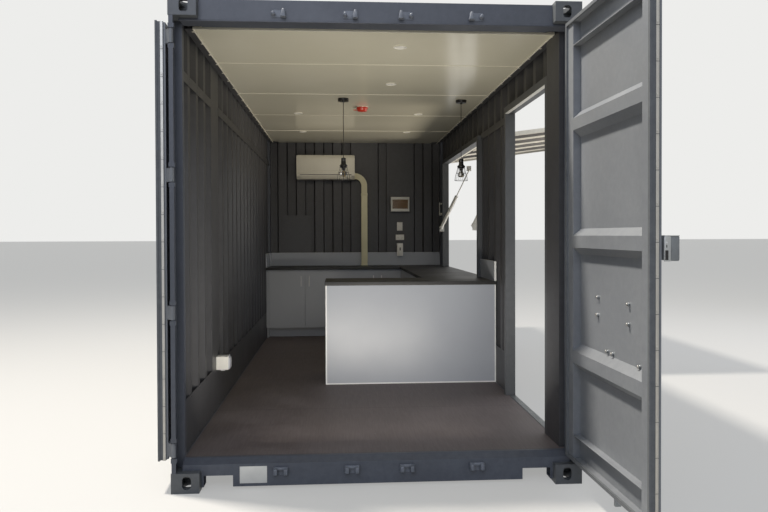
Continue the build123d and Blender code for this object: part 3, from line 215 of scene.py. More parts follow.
def sprayed_steel(name, base, dusty, peel_mm, peel_depth, sheen=(0.36, 0.5), wave_depth=0.0):
    """Two-pack paint sprayed on steel: even, slightly dusty, with the sprayer's fine orange peel."""
    paint, surface, place = start_material(name)
    clouds = node(paint, "TexNoise", {"Vector": place, "Scale": 1.6, "Detail": 5.0, "Roughness": 0.6})
    film = node(paint, "TexNoise", {"Vector": place, "Scale": 22.0, "Detail": 4.0, "Roughness": 0.7})
    dust = node(paint, "Math", {0: clouds.outputs[0], 1: film.outputs[0]}, operation="MULTIPLY")
    amount = node(paint, "MapRange", {0: dust.outputs[0], 1: 0.14, 2: 0.40})
    tone = node(paint, "Mix", {0: amount.outputs[0], 6: colour(base), 7: colour(dusty)}, data_type="RGBA")
    gloss = node(paint, "MapRange", {0: clouds.outputs[0], 1: 0.3, 2: 0.7, 3: sheen[0], 4: sheen[1]})
    peel = node(paint, "TexNoise", {"Vector": place, "Scale": 1000.0 / peel_mm, "Detail": 2.0})
    relief = node(paint, "Bump", {"Height": peel.outputs[0], "Strength": 0.35, "Distance": peel_depth})
    if wave_depth:
        waves = node(paint, "TexNoise", {"Vector": place, "Scale": 3.2, "Detail": 1.0})
        relief = node(
            paint,
            "Bump",
            {
                "Height": waves.outputs[0],
                "Strength": 0.6,
                "Distance": wave_depth,
                "Normal": relief.outputs[0],
            },
        )
    feed(paint, surface, {"Base Color": tone.outputs[2], "Roughness": gloss.outputs[0]})
    feed(paint, surface, {"Normal": relief.outputs[0], "IOR": 1.5})
    return paint


def finish(material, *names):
    """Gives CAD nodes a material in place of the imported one."""
    for name in names:
        mesh = nodes[name].data
        if not mesh.materials:
            mesh.materials.append(material)
        for slot in nodes[name].material_slots:
            slot.material = material


def row_of(piece, count, step):
    """Repeats a piece in a row, as one mesh."""
    pick(piece)
    row = piece.modifiers.new("row", "ARRAY")
    row.count = count
    row.use_relative_offset = False
    row.use_constant_offset = True
    row.constant_offset_displace = step
    bpy.ops.object.modifier_apply(modifier="row")
    return piece


def joined(name, pieces):
    """Makes one piece of several."""
    select_nothing()
    for piece in pieces:
        piece.select_set(True)
    bpy.context.view_layer.objects.active = pieces[0]
    if len(pieces) > 1:
        bpy.ops.object.join()
    pieces[0].name = name
    return pieces[0]


def fit(piece, material, body, smooth=35):
    """Gives a finished piece its finish and the body it moves with."""
    pick(piece)
    bpy.ops.object.shade_smooth_by_angle(angle=math.radians(smooth))
    piece.data.materials.clear()
    piece.data.materials.append(material)
    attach(piece, body)
    return piece


def weld_bead(start, end):
    """A seam of overlapping ripples between two points, whose X is a distance behind the doors."""
    run = Vector(end) - Vector(start)
    ripple_step = 0.005
    ripple_radius = 0.0031
    count = max(2, round(run.length / ripple_step))
    foot = (behind_doors(start[0]), *start[1:])
    select_nothing()
    bpy.ops.mesh.primitive_uv_sphere_add(segments=8, ring_count=5, radius=ripple_radius, location=foot)
    ripple = bpy.context.object
    bpy.ops.object.transform_apply(location=True, rotation=True, scale=True)
    return row_of(ripple, count, run / (count - 1))


# As-cast skin under the paint: a coarse, sandy relief beside the smooth rolled sections.
casting_paint = sprayed_steel("cast_steel_paint", "4f5254", "5c5f62", 7.0, 0.0006)
finish(casting_paint, "corner_castings")

casting_inner = 1.0565
post_face = 1.2148
rail_face = 1.2152
lower_casting = (0.022, 0.114)
upper_casting = (2.782, 2.884)
above_lower = 0.1185
below_upper = 2.7775
seams = []
for side in (-1, 1):
    post = side * post_face
    rail = side * rail_face
    inner = side * casting_inner
    for z in (above_lower, below_upper):
        seams.append(weld_bead((0.006, post, z), (0.174, post, z)))
        seams.append(weld_bead((0.1275, side * 1.166, z), (0.1275, side * 1.202, z)))
        seams.append(weld_bead((5.884, post, z), (6.050, post, z)))
        seams.append(weld_bead((6.0542, side * 1.166, z), (6.0542, side * 1.211, z)))
    for low, high in (lower_casting, upper_casting):
        seams.append(weld_bead((0.0595, inner, low), (0.0595, inner, high)))
    for distance in (0.1785, 5.8795):
        seams.append(weld_bead((distance, rail, lower_casting[0]), (distance, rail, lower_casting[1])))
fit(joined("frame_welds", seams), casting_paint, "container", 60)


# Frame: door posts, header, sill, rails and the closed end's posts, of folded and rolled steel,
# welded together. The header's drip edge has a rolled lip along its front, in the same paint.
def box_piece(name, low, high, ease=0.0, steps=2):
    """Starts a piece as a box between two corners, with its edges eased."""
    select_nothing()
    size = [b - a for a, b in zip(low, high)]
    middle = [(a + b) / 2 for a, b in zip(low, high)]
    bpy.ops.mesh.primitive_cube_add(size=1, location=middle, scale=size)
    piece = bpy.context.object
    piece.name = name
    bpy.ops.object.transform_apply(location=True, rotation=True, scale=True)
    if ease:
        ease_edges(piece, ease, steps)
    return piece


def ease_edges(piece, width, steps=2):
    """Rounds a piece's sharp edges."""
    pick(piece)
    rounding = piece.modifiers.new("eased_edges", "BEVEL")
    rounding.width = width
    rounding.segments = steps
    rounding.limit_method = "ANGLE"
    rounding.angle_limit = math.radians(40)
    bpy.ops.object.modifier_apply(modifier="eased_edges")
    return piece


def fitted_box(name, distances, sideways, heights, ease=0.0, steps=2):
    """A box placed by its distances behind the doors, its places across and its heights."""
    low = (behind_doors(distances[0]), sideways[0], heights[0])
    high = (behind_doors(distances[1]), sideways[1], heights[1])
    return box_piece(name, low, high, ease, steps)


# Charcoal two-pack coat: dark, with a slight blue cast that is painted sky light, and a broad soft glare.
frame_paint = sprayed_steel("frame_paint", "484c54", "52565f", 3.0, 0.0002)
finish(frame_paint, "door_posts", "door_header", "closed_end_frame", "top_side_rails", "bottom_side_rails")
header_lip = fitted_box("header_lip", (0.0582, 0.0660), (-1.170, 1.170), (2.7602, 2.7708), 0.0028, 3)
fit(header_lip, frame_paint, "container")
# Shop primer, left thin below the floor: duller and rougher than the top coat.
underside_paint = sprayed_steel("underside_paint", "3e4146", "4c4f54", 3.0, 0.0003, (0.5, 0.65))
finish(underside_paint, "cross_members")
# The sill is walked and driven over: dust lies in its coat and greys it.
sill_paint = sprayed_steel("sill_paint", "4a4e57", "585d66", 3.0, 0.0003, (0.42, 0.56))
finish(sill_paint, "door_sill")


# Rating plate: a bare brushed aluminium plate on the sill, with a raised rim and four rivets. It
# carries no words.
def round_piece(name, foot, radius, length, along="Z", ease=0.0, sides=24):
    """Starts a piece as a bar from its foot along an axis, with its rims eased."""
    select_nothing()
    turn = {"X": (0, math.pi / 2, 0), "Y": (-math.pi / 2, 0, 0), "Z": (0, 0, 0)}[along]
    way = {"X": Vector((1, 0, 0)), "Y": Vector((0, 1, 0)), "Z": Vector((0, 0, 1))}[along]
    middle = Vector(foot) + way * length / 2
    bpy.ops.mesh.primitive_cylinder_add(
        vertices=sides, radius=radius, depth=abs(length), location=middle, rotation=turn
    )
    piece = bpy.context.object
    piece.name = name
    bpy.ops.object.transform_apply(location=True, rotation=True, scale=True)
    if ease:
        ease_edges(piece, ease, 3)
    return piece


def choose_faces(piece, way, closeness=0.9):
    """Opens a piece in edit mode with the faces selected that look one way, this closely."""
    pick(piece)
    bpy.ops.object.mode_set(mode="EDIT")
    bpy.ops.mesh.select_mode(type="FACE")
    bpy.ops.mesh.select_all(action="DESELECT")
    mesh = bmesh.from_edit_mesh(piece.data)
    for face in mesh.faces:
        face.select_set(face.normal.dot(Vector(way)) > closeness)
    mesh.select_flush_mode()
    bmesh.update_edit_mesh(piece.data)


def step_in(piece, way, margin, step, closeness=0.9):
    """Insets the faces that look one way and raises or sinks what lies inside the margin."""
    choose_faces(piece, way, closeness)
    bpy.ops.mesh.inset(thickness=margin, depth=0)
    bpy.ops.mesh.inset(thickness=0.00005, depth=step)
    bpy.ops.object.mode_set(mode="OBJECT")
    return piece


def brushed_metal(name, base, dull, stroke, rough):
    """Bare metal, brushed or rolled along one axis: fine streaks in its gloss, a little tarnish."""
    metal, surface, place = start_material(name)
    drawn = node(metal, "Mapping", {"Vector": place, "Scale": stroke})
    streaks = node(metal, "TexNoise", {"Vector": drawn.outputs[0], "Scale": 1.0, "Detail": 4.0})
    tarnish = node(metal, "TexNoise", {"Vector": place, "Scale": 14.0, "Detail": 4.0})
    tone = node(metal, "Mix", {0: tarnish.outputs[0], 6: colour(base), 7: colour(dull)}, data_type="RGBA")
    gloss = node(metal, "MapRange", {0: streaks.outputs[0], 1: 0.3, 2: 0.7, 3: rough[0], 4: rough[1]})
    grain = node(metal, "Bump", {"Height": streaks.outputs[0], "Strength": 0.2, "Distance": 0.0001})
    feed(metal, surface, {"Base Color": tone.outputs[2], "Roughness": gloss.outputs[0]})
    feed(metal, surface, {"Normal": grain.outputs[0], "Metallic": 1.0})
    return metal


# Brushed aluminium, 0.5 mm strokes along the plate: pale, with a soft sideways glare.
plate_metal = brushed_metal("brushed_aluminium", "c9cbcc", "b4b7b9", (40.0, 40.0, 1800.0), (0.3, 0.45))
plate_front = behind_doors(0.0586)
plate = box_piece("rating_plate", (plate_front, 0.67, 0.035), (behind_doors(0.0602), 0.83, 0.135))
step_in(plate, (-1, 0, 0), 0.004, -0.0005)
pins = []
for y in (0.677, 0.823):
    for z in (0.042, 0.128):
        pins.append(round_piece("pin", (plate_front - 0.0012, y, z), 0.003, 0.002, "X", 0.0008, 12))
fit(joined("rating_plate", [plate, *pins]), plate_metal, "container")

# Corrugated wall and roof sheet: weathering steel pressed into a trapezoid wave and welded into the
# frame along its edges.
# Charcoal paint on thin sheet: darker than the frame, with slow waves in its reflections.
sheet_paint = sprayed_steel("sheet_paint", "38383a", "424244", 3.0, 0.0002, (0.4, 0.52), 0.002)
finish(
    sheet_paint,
    "left_wall",
    "end_wall",
    "serving_side_heads",
    "serving_side_walls",
    "hatch_apron",
    "doorway_side_panel",
    "roof_sheet",
)


# Floor: plywood boards 28 mm thick, laid in 1.2 m lengths and screwed to each cross member.
# Phenolic film over the ply: brown-grey, faintly cloudy where feet and pallets have rubbed it.
floor_film, floor_skin, floor_place = start_material("film_faced_plywood")
grain_run = node(floor_film, "Mapping", {"Vector": floor_place, "Scale": (1.5, 26.0, 1.0)})
grain = node(floor_film, "TexNoise", {"Vector": grain_run.outputs[0], "Scale": 4.0, "Detail": 6.0})
tread = node(floor_film, "TexNoise", {"Vector": floor_place, "Scale": 2.2, "Detail": 6.0, "Roughness": 0.65})
worn = node(floor_film, "Mix", {0: 0.3, 2: tread.outputs[0], 3: grain.outputs[0]})
wear = node(floor_film, "MapRange", {0: worn.outputs[0], 1: 0.36, 2: 0.64})
floor_tone = node(
    floor_film, "Mix", {0: wear.outputs[0], 6: colour("5a504e"), 7: colour("736a68")}, data_type="RGBA"
)
floor_axes = node(floor_film, "SeparateXYZ", {"Vector": floor_place})
board_place = node(floor_film, "Math", {0: floor_axes.outputs["X"], 1: 1.684}, operation="ADD")
board_phase = node(floor_film, "Math", {0: board_place.outputs[0], 1: 1.2, 2: 0.0}, operation="WRAP")
board_seam = node(floor_film, "Math", {0: board_phase.outputs[0], 1: 0.003}, operation="LESS_THAN")
floor_colour = node(
    floor_film,
    "Mix",
    {0: board_seam.outputs[0], 6: floor_tone.outputs[2], 7: colour("1d1816")},
    data_type="RGBA",
)
floor_gloss = node(floor_film, "MapRange", {0: tread.outputs[0], 1: 0.3, 2: 0.7, 3: 0.5, 4: 0.72})
floor_relief = node(floor_film, "Bump", {"Height": grain.outputs[0], "Strength": 0.2, "Distance": 0.0002})
feed(floor_film, floor_skin, {"Base Color": floor_colour.outputs[2], "Roughness": floor_gloss.outputs[0]})
feed(floor_film, floor_skin, {"Normal": floor_relief.outputs[0]})
finish(floor_film, "floor_boards")
# Zinc-plated floor screws, trodden and dusty: small points of the floor's own brown-grey.
zinc = brushed_metal("zinc_plate", "7c7a79", "686665", (300.0, 300.0, 300.0), (0.35, 0.5))
screw = round_piece("floor_screws", (behind_doors(0.272), -1.08, 0.1752), 0.0055, 0.0012, "Z", 0.0004, 10)
row_of(screw, 13, (0, 0.18, 0))
row_of(screw, 19, (0.308, 0, 0))
fit(screw, zinc, "container")

# Cargo door leaves: a welded frame round a ribbed sheet, in the container's paint, hung on four
# blades each. A rubber seal runs round each leaf.
# Leaf paint: a paler grey than the walls, its paleness painted sunlight on the open leaves, with a satin
# glare on each rib.
leaf_paint = sprayed_steel("door_leaf_paint", "73767a", "7d8083", 3.0, 0.0002, (0.34, 0.46), 0.0015)
finish(leaf_paint, "left_door_leaf", "right_door_leaf", "left_hinge_blades", "right_hinge_blades")
# Extruded rubber seal, sprayed over with the leaf: mid grey, lightened as painted sunlight on the open
# leaves, with a duller skin than the steel.
seal_rubber = sprayed_steel("seal_rubber", "54575a", "66696b", 1.5, 0.0001, (0.5, 0.65))
finish(seal_rubber, "left_door_gasket", "right_door_gasket")

hinge_x = behind_doors(0.014)
hinge_y = {"left": 1.205, "right": -1.205}
leaf_turn = {"left": math.radians(3.0), "right": math.radians(-178.9)}
hinge_heights = (0.251, 1.054, 1.857, 2.660)


def on_leaf(piece, side):
    """Takes a piece from the closed left leaf's plan, X from the pin and Y inward, to an open leaf."""
    pick(piece)
    if side == "right":
        piece.scale = (1, -1, 1)
        bpy.ops.object.transform_apply(location=True, rotation=True, scale=True)
        bpy.ops.object.mode_set(mode="EDIT")
        bpy.ops.mesh.select_all(action="SELECT")
        bpy.ops.mesh.remove_doubles(threshold=0.00001)
        bpy.ops.mesh.normals_make_consistent(inside=False)
        bpy.ops.object.mode_set(mode="OBJECT")
    piece.rotation_euler = (0, 0, leaf_turn[side])
    piece.location = (hinge_x, hinge_y[side], 0)
    bpy.ops.object.transform_apply(location=True, rotation=True, scale=True)
    return piece


# Hinge pins: steel bars, painted with the frame. Each has a domed head above its upper lug and a
# riveted tail below the lower one.
pin_end_reach = 0.0715
pin_ends = []
for side in ("left", "right"):
    for height in hinge_heights:
        top = (hinge_x, hinge_y[side], height + pin_end_reach)
        tail = (hinge_x, hinge_y[side], height - pin_end_reach)
        pin_ends.append(round_piece("pin_head", top, 0.0115, 0.006, "Z", 0.003, 20))
        pin_ends.append(round_piece("pin_tail", tail, 0.0095, -0.005, "Z", 0.002, 20))
fit(joined("hinge_pin_ends", pin_ends), frame_paint, "container")

# Seal retainers: metal strips over the rubber's foot on all four edges of each leaf. Each side has
# sixteen short lengths with a rivet each, top and bottom have one long strip with seven.
# Mill-finish aluminium: bright against the paint, softened by a dull oxide.
retainer_metal = brushed_metal("mill_aluminium", "bfbdb7", "a5a39e", (60.0, 60.0, 1500.0), (0.38, 0.55))
seal_near = 0.031
seal_far = 1.197
seal_low = 0.188
seal_high = 2.750
strip = 0.0025
strip_front = 0.050
strip_back = 0.064
rivet_line = 0.057
side_lengths = 16
length_pitch = (seal_high - seal_low + 2 * strip) / side_lengths
length_high = length_pitch - 0.003
for side in ("left", "right"):
    strips = []
    foot = seal_low - strip
    for near, far, way in ((seal_near - strip, seal_near, -1), (seal_far, seal_far + strip, 1)):
        length = box_piece("retainer", (near, strip_front, foot), (far, strip_back, foot + length_high))
        step_in(length, (way, 0, 0), 0.004, -0.0008)
        strips.append(row_of(length, side_lengths, (0, 0, length_pitch)))
        face = far if way > 0 else near
        rivet_foot = (face - 0.0008 * way, rivet_line, foot + 0.013)
        rivet = round_piece("rivet", rivet_foot, 0.0048, way * 0.0026, "X", 0.001, 10)
        strips.append(row_of(rivet, side_lengths, (0, 0, length_pitch)))
    for low, high, way in ((foot, seal_low, -1), (seal_high, seal_high + strip, 1)):
        length = box_piece("retainer", (seal_near, strip_front, low), (seal_far, strip_back, high))
        strips.append(step_in(length, (0, 0, way), 0.005, -0.0008))
        face = high if way > 0 else low
        rivet_foot = (seal_near + 0.1, rivet_line, face - 0.0004 * way)
        rivet = round_piece("rivet", rivet_foot, 0.0046, way * 0.0018, "Z", 0.0009, 10)
        strips.append(row_of(rivet, 7, (0.161, 0, 0)))
    ring = on_leaf(joined(side + "_seal_retainer", strips), side)
    fit(ring, retainer_metal, side + "_door")

# Locking gear: two galvanised bars a leaf in bearings bolted to the sheet, with flat handles held in
# bolted holders. Eight bolts a leaf come through to the inside, with nuts and bright caps.
# Hot-dip zinc: mid grey, cloudy, with a dull patchy gloss.
hot_dip_zinc = brushed_metal("hot_dip_zinc", "9da1a4", "7f8386", (90.0, 90.0, 90.0), (0.38, 0.55))
finish(hot_dip_zinc, "left_lock_rods", "right_lock_rods")
bar_places = (1.040, 0.617)
bearing_heights = (0.420, 0.900, 1.700, 2.520)
holder_step = 0.190
skin_inner = 0.038
through_bolts = (
    (0.432, 1.161), (0.425, 1.063), (0.846, 1.159), (0.846, 1.060),
    (0.569, 0.886), (0.640, 0.882), (0.977, 0.874), (1.062, 0.872),
)
bolt_face = 0.0295
handle_height = 1.122
for side in ("left", "right"):
    fixings = []
    for bar in bar_places:
        for height in bearing_heights:
            for shift in (-0.040, 0.040):
                for lift in (-0.018, 0.018):
                    foot = (bar + shift, bolt_face, height + lift)
                    fixings.append(round_piece("bolt", foot, 0.0075, -0.006, "Y", 0.0012, 6))
            low = (bar - 0.027, -0.0125, height - 0.012)
            high = (bar + 0.027, 0.0105, height + 0.012)
            fixings.append(box_piece("strap", low, high, 0.007, 3))
        holder = bar - holder_step
        for lift in (-0.052, 0.052):
            for shift in (-0.020, 0.020):
                foot = (holder + shift, bolt_face, handle_height + lift)
                fixings.append(round_piece("bolt", foot, 0.0065, -0.005, "Y", 0.001, 6))
        # Swinging catch over the flat handle, and the handle's rounded grip end
        catch = ((holder - 0.015, -0.0015, 1.096), (holder + 0.015, 0.0025, 1.160))
        grip = ((bar - 0.384, -0.0005, 1.102), (bar - 0.330, 0.0145, 1.142))
        fixings.append(box_piece("catch", *catch, 0.0015))
        fixings.append(box_piece("grip", *grip, 0.006, 3))
        for lift in (-0.033, 0.027):
            foot = (bar, 0.007, handle_height + lift)
            fixings.append(round_piece("collar", foot, 0.0225, 0.006, "Z", 0.0015, 28))
    fit(
        on_leaf(joined(side + "_gear_fixings", fixings), side),
        hot_dip_zinc,
        side + "_door",
    )
    shanks = []
    caps = []
    for place, height in through_bolts:
        shanks.append(round_piece("nut", (place, skin_inner, height), 0.0105, 0.008, "Y", 0.0012, 6))
        shanks.append(round_piece("shank", (place, skin_inner, height), 0.0052, 0.013, "Y", 0.0006, 12))
        caps.append(round_piece("cap", (place, skin_inner + 0.0115, height), 0.0085, 0.0055, "Y", 0.0036, 16))
    fit(
        on_leaf(joined(side + "_through_bolts", shanks), side),
        hot_dip_zinc,
        side + "_door",
    )
    fit(on_leaf(joined(side + "_bolt_caps", caps), side), retainer_metal, side + "_door")

# Lock box: a pressed steel shroud for a padlock on the right leaf's free edge, open below, its edges
# well rounded. A pale cover with the key slot stands on its front, beside the bracket.
# Shroud paint: mid grey, smoother than the leaf's, so that its round edges catch the sky.
box_steel = sprayed_steel("lock_box_paint", "787b7b", "858887", 3.0, 0.0002, (0.32, 0.46))
shroud = box_piece("lock_box_shroud", (1.095, -0.051, 1.380), (1.193, 0.025, 1.497), 0.008, 4)
choose_faces(shroud, (0, 0, -1), 0.1)
bpy.ops.mesh.delete(type="FACE")
bpy.ops.object.mode_set(mode="OBJECT")
wall = shroud.modifiers.new("sheet", "SOLIDIFY")
wall.thickness = 0.003
bpy.ops.object.modifier_apply(modifier="sheet")
bracket = box_piece("bracket", (1.1140, 0.0235, 1.3905), (1.1740, 0.0352, 1.4865), 0.002)
fold = box_piece("fold", (1.1905, -0.0450, 1.3840), (1.1945, -0.0085, 1.4880), 0.0015)
shroud_set = on_leaf(joined("lock_box_shroud", [shroud, bracket, fold]), "right")
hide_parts("lock_box")
fit(shroud_set, box_steel, "right_door")
# Bare pressed zinc: paler and glossier than the painted shroud. On the strip along the shroud's top it is a
# painted highlight.
pressed_zinc = brushed_metal("pressed_zinc", "b3b6b7", "9ea1a2", (150.0, 150.0, 150.0), (0.34, 0.48))
lock_cover = box_piece("lock_cover", (1.1900, -0.0075, 1.3825), (1.1985, 0.0245, 1.4950), 0.0040, 3)
step_in(lock_cover, (1, 0, 0), 0.0025, -0.0006, 0.98)
# Pale strip along the shroud's top: a painted highlight where light falls on its rounded rim.
top_rim_highlight = box_piece("top_rim_highlight", (1.1100, -0.0480, 1.4945), (1.1955, 0.0220, 1.4985), 0.0018, 3)
fit(
    on_leaf(joined("lock_box_cover", [lock_cover, top_rim_highlight]), "right"),
    pressed_zinc,
    "right_door",
)
key_slot = box_piece("key_slot", (1.1960, 0.0055, 1.3880), (1.1992, 0.0205, 1.4320), 0.0006, 1)
pivot = box_piece("pivot", (1.1972, 0.0110, 1.4440), (1.1990, 0.0150, 1.4560), 0.0006)
# Near-black on the key slot and the pivot: on the slot it is painted shade standing for its dark opening.
slot_painted_shade = sprayed_steel("slot_painted_shade", "0c0d0e", "141516", 3.0, 0.0002, (0.5, 0.6))
fit(on_leaf(joined("lock_key_slot", [key_slot, pivot]), "right"), slot_painted_shade, "right_door")
lock_screw = round_piece("lock_box_screw", (1.1975, 0.0130, 1.4660), 0.0044, 0.0020, "X", 0.0009, 12)
fit(on_leaf(lock_screw, "right"), plate_metal, "right_door")


# Cam keepers: cast steel lugs on a plate, welded to the header and the sill. On the header a round
# lug stands beside a tapered hook; on the sill both legs join in a low arch.
def taper(piece, way, scale, centre):
    """Narrows or widens the faces of a piece that look one way, about a centre."""
    choose_faces(piece, way)
    bpy.ops.transform.resize(value=scale, center_override=centre)
    bpy.ops.object.mode_set(mode="OBJECT")
    return piece


# Keeper paint: bluish grey, a shade paler than the frame behind it; the blue is painted sky light, as on the
# frame.
fitting_paint = sprayed_steel("keeper_paint", "5d626b", "7b8089", 4.0, 0.0003, (0.3, 0.42))
sill_face = 0.060
base_half = 0.0415
base_front = sill_face - 0.004
leg_front = sill_face - 0.043
keepers = []
for side in (-1, 1):
    for offset in (0.165, 0.588):
        middle = side * offset
        base_across = (middle - base_half, middle + base_half)
        base = fitted_box("base", (base_front, sill_face), base_across, (2.786, 2.833), 0.0015)
        lug_foot = (behind_doors(sill_face - 0.041), middle + side * 0.031, 2.806)
        lug = round_piece("lug", lug_foot, 0.011, 0.039, "X", 0.006, 24)
        hook_middle = middle - side * 0.029
        hook_across = (hook_middle - 0.0165, hook_middle + 0.0165)
        hook = fitted_box("hook", (leg_front, sill_face), hook_across, (2.786, 2.835))
        taper(hook, (0, 0, 1), (0.55, 0.42, 1), (behind_doors(sill_face - 0.016), hook_middle, 2.835))
        keepers += [base, lug, ease_edges(hook, 0.004, 3)]
        base = fitted_box("base", (base_front, sill_face), base_across, (0.080, 0.127), 0.0015)
        arch_across = (middle - 0.0455, middle + 0.0455)
        arch = fitted_box("arch", (sill_face - 0.020, sill_face), arch_across, (0.109, 0.129), 0.006, 3)
        keepers += [base, arch]
        for turn in (-1, 1):
            leg_middle = middle + turn * 0.0305
            leg_across = (leg_middle - 0.0150, leg_middle + 0.0150)
            leg = fitted_box("leg", (leg_front, sill_face), leg_across, (0.080, 0.128))
            taper(leg, (-1, 0, 0), (1, 0.75, 0.7), (behind_doors(leg_front), leg_middle, 0.108))
            keepers.append(ease_edges(leg, 0.004, 3))
keeper_set = joined("door_keepers", keepers)
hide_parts("cam_keepers")
fit(keeper_set, fitting_paint, "container")

# Side doorway: a box-section frame welded into the sheet, without a door. A white edge strip closes
# the soffit, and a ribbed galvanised threshold covers the bottom rail, fixed by six screws.
# Paint of the openings' frames: dark charcoal, without the dust and the painted sky-blue cast of the posts.
opening_paint = sprayed_steel("opening_frame_paint", "434547", "4e5052", 3.0, 0.0002)
finish(opening_paint, "doorway_frame")
# White powder coat: smooth and bright.
white_coat = sprayed_steel("white_powder_coat", "dcdcd6", "cfcfc9", 1.5, 0.0001, (0.3, 0.42))
soffit = fitted_box("soffit_strip", (0.512, 1.698), (-1.161, -1.1305), (2.4970, 2.5002))
step_in(soffit, (0, 0, -1), 0.004, -0.0008)
fit(ease_edges(soffit, 0.0005, 1), white_coat, "container")
tread_plate = fitted_box("threshold", (0.512, 1.698), (-1.2125, -1.1645), (0.1758, 0.1785), 0.0008, 1)
tread_rib = fitted_box("rib", (0.516, 1.694), (-1.2095, -1.2065), (0.1783, 0.1797), 0.0006, 1)
row_of(tread_rib, 6, (0, 0.0080, 0))
step_screw = round_piece("screw", (behind_doors(0.56), -1.1675, 0.1783), 0.0035, 0.0010, "Z", 0.0004, 10)
row_of(step_screw, 6, (0.2160, 0, 0))
fit(joined("threshold", [tread_plate, tread_rib, step_screw]), hot_dip_zinc, "container")

# Serving hatch: a box-section frame all round, and a flap hinged above it, held up by two gas struts.
# The flap's recesses stay charcoal. Cream bands with clipped ends run across its underside.
finish(opening_paint, "hatch_frame")
finish(sheet_paint, "hatch_flap_sheet")
# Cream paint on the flap's frame and bands: it glows warm with the yard's light from below.
flap_cream = sprayed_steel("flap_cream_paint", "ece9dd", "dedbcf", 2.5, 0.0002, (0.34, 0.46))
finish(flap_cream, "hatch_flap_frame")
# Near-white enamel on the struts: glossy, with one thin highlight down each sleeve.
strut_paint = sprayed_steel("strut_white_enamel", "d6d6d1", "c8c8c3", 1.0, 0.00005, (0.22, 0.32))
finish(strut_paint, "gas_struts")
hatch_middle = behind_doors(4.225)
flap_pivot_y = -1.223
flap_pivot_z = 2.465
flap_tilt = math.radians(-7.5)


def on_flap(piece):
    """Takes a piece laid out level, X from the hatch's middle and -Y outward, to the open flap."""
    pick(piece)
    piece.rotation_euler = (flap_tilt, 0, 0)
    piece.location = (hatch_middle, flap_pivot_y, flap_pivot_z)
    bpy.ops.object.transform_apply(location=True, rotation=True, scale=True)
    return piece


bands = []
for number in range(4):
    middle = (number - 1.5) * 0.567
    band = box_piece("band", (middle - 0.0965, -1.309, -0.0218), (middle + 0.0965, -0.049, -0.0200))
    bands.append(step_in(band, (0, 0, -1), 0.006, -0.0006))
    for near, far in ((-1.306, -1.284), (-0.074, -0.052)):
        bands.append(
            box_piece("clip", (middle - 0.094, near, -0.0262), (middle + 0.094, far, -0.0210), 0.0015)
        )
fit(on_flap(joined("flap_bands", bands)), flap_cream, "container")

# Each strut has a foot collar, a long sleeve and a neck ring over the CAD's bar.
strut_foot_y = -1.100
strut_foot_z = 1.580
strut_top_y = -1.480
strut_top_z = 2.353
strut_tilt = math.atan2(strut_foot_y - strut_top_y, strut_top_z - strut_foot_z)
strut_ends = []
for distance in (3.030, 5.420):
    for reach, length, radius in ((0.002, 0.030, 0.0240), (0.030, 0.438, 0.0215), (0.466, 0.016, 0.0235)):
        cap = round_piece("cap", (0, 0, reach), radius, length, "Z", 0.003, 24)
        cap.rotation_euler = (strut_tilt, 0, 0)
        cap.location = (behind_doors(distance), strut_foot_y, strut_foot_z)
        bpy.ops.object.transform_apply(location=True, rotation=True, scale=True)
        strut_ends.append(cap)
fit(joined("strut_sleeves", strut_ends), strut_paint, "container")

# Prop lever beside the hatch: a white coated rod on a moulded foot, with a keep near its upper end,
# both screwed to the side wall.
lever_x = behind_doors(5.80)
lever = [
    box_piece("foot", (lever_x - 0.017, -1.1755, 1.764), (lever_x + 0.017, -1.130, 1.800), 0.006, 3),
    round_piece("rod", (lever_x, -1.138, 1.796), 0.0062, 0.148, "Z", 0.003, 16),
    box_piece("keep", (lever_x - 0.012, -1.1755, 1.915), (lever_x + 0.012, -1.146, 1.930), 0.004, 3),
]
fit(joined("hatch_prop_lever", lever), white_coat, "container")


# Wall linings: skirting, a flat bar high on the walls and cover plates over the wiring, folded from
# 3 mm sheet and fixed with blind rivets on each corrugation.
def rivet_row(foot, length, along, count, step):
    """A row of blind rivets from the first one's foot."""
    return row_of(round_piece("rivet", foot, 0.0045, length, along, 0.0011, 12), count, step)


# Wall paint on folded sheet: charcoal, a little flatter and more even than on the corrugation.
lining_paint = sprayed_steel("lining_paint", "3a3a3c", "444446", 3.0, 0.0002, (0.4, 0.52), 0.001)
finish(lining_paint, "wall_rails", "cover_plates")
skirting_face = 1.1722
bar_face = 1.1702
end_plate_face = behind_doors(6.0032)
rivets = []
for heights, face, side, first, count in (
    ((0.488, 0.196), skirting_face, 1, 0.389, 20),
    ((0.488, 0.196), skirting_face, -1, 1.779, 4),
    ((2.485, 2.455), bar_face, 1, 0.389, 3),
    ((2.485, 2.455), bar_face, 1, 1.779, 15),
    ((2.485, 2.455), bar_face, -1, 1.779, 4),
):
    for height in heights:
        foot = (behind_doors(first), side * face, height)
        rivets.append(rivet_row(foot, -side * 0.0022, "Y", count, (0.278, 0, 0)))
for columns, low, count in (((-0.283, 0.047, -0.775, -0.445), 1.30, 10), ((0.618, 0.998), 1.285, 4)):
    for y in columns:
        rivets.append(rivet_row((end_plate_face, y, low), -0.0022, "X", count, (0, 0, 0.155)))
for distance in (1.203, 1.521):
    foot = (behind_doors(distance), skirting_face, 0.56)
    rivets.append(rivet_row(foot, -0.0022, "Y", 14, (0, 0, 0.160)))
fit(joined("lining_rivets", rivets), lining_paint, "container")
# Lap joint where one cover plate overlaps the other behind the switches
lap = fitted_box("cover_plate_lap", (6.0018, 6.0031), (-0.7895, -0.4305), (1.2625, 1.680), 0.0004, 1)
fit(lap, lining_paint, "container")


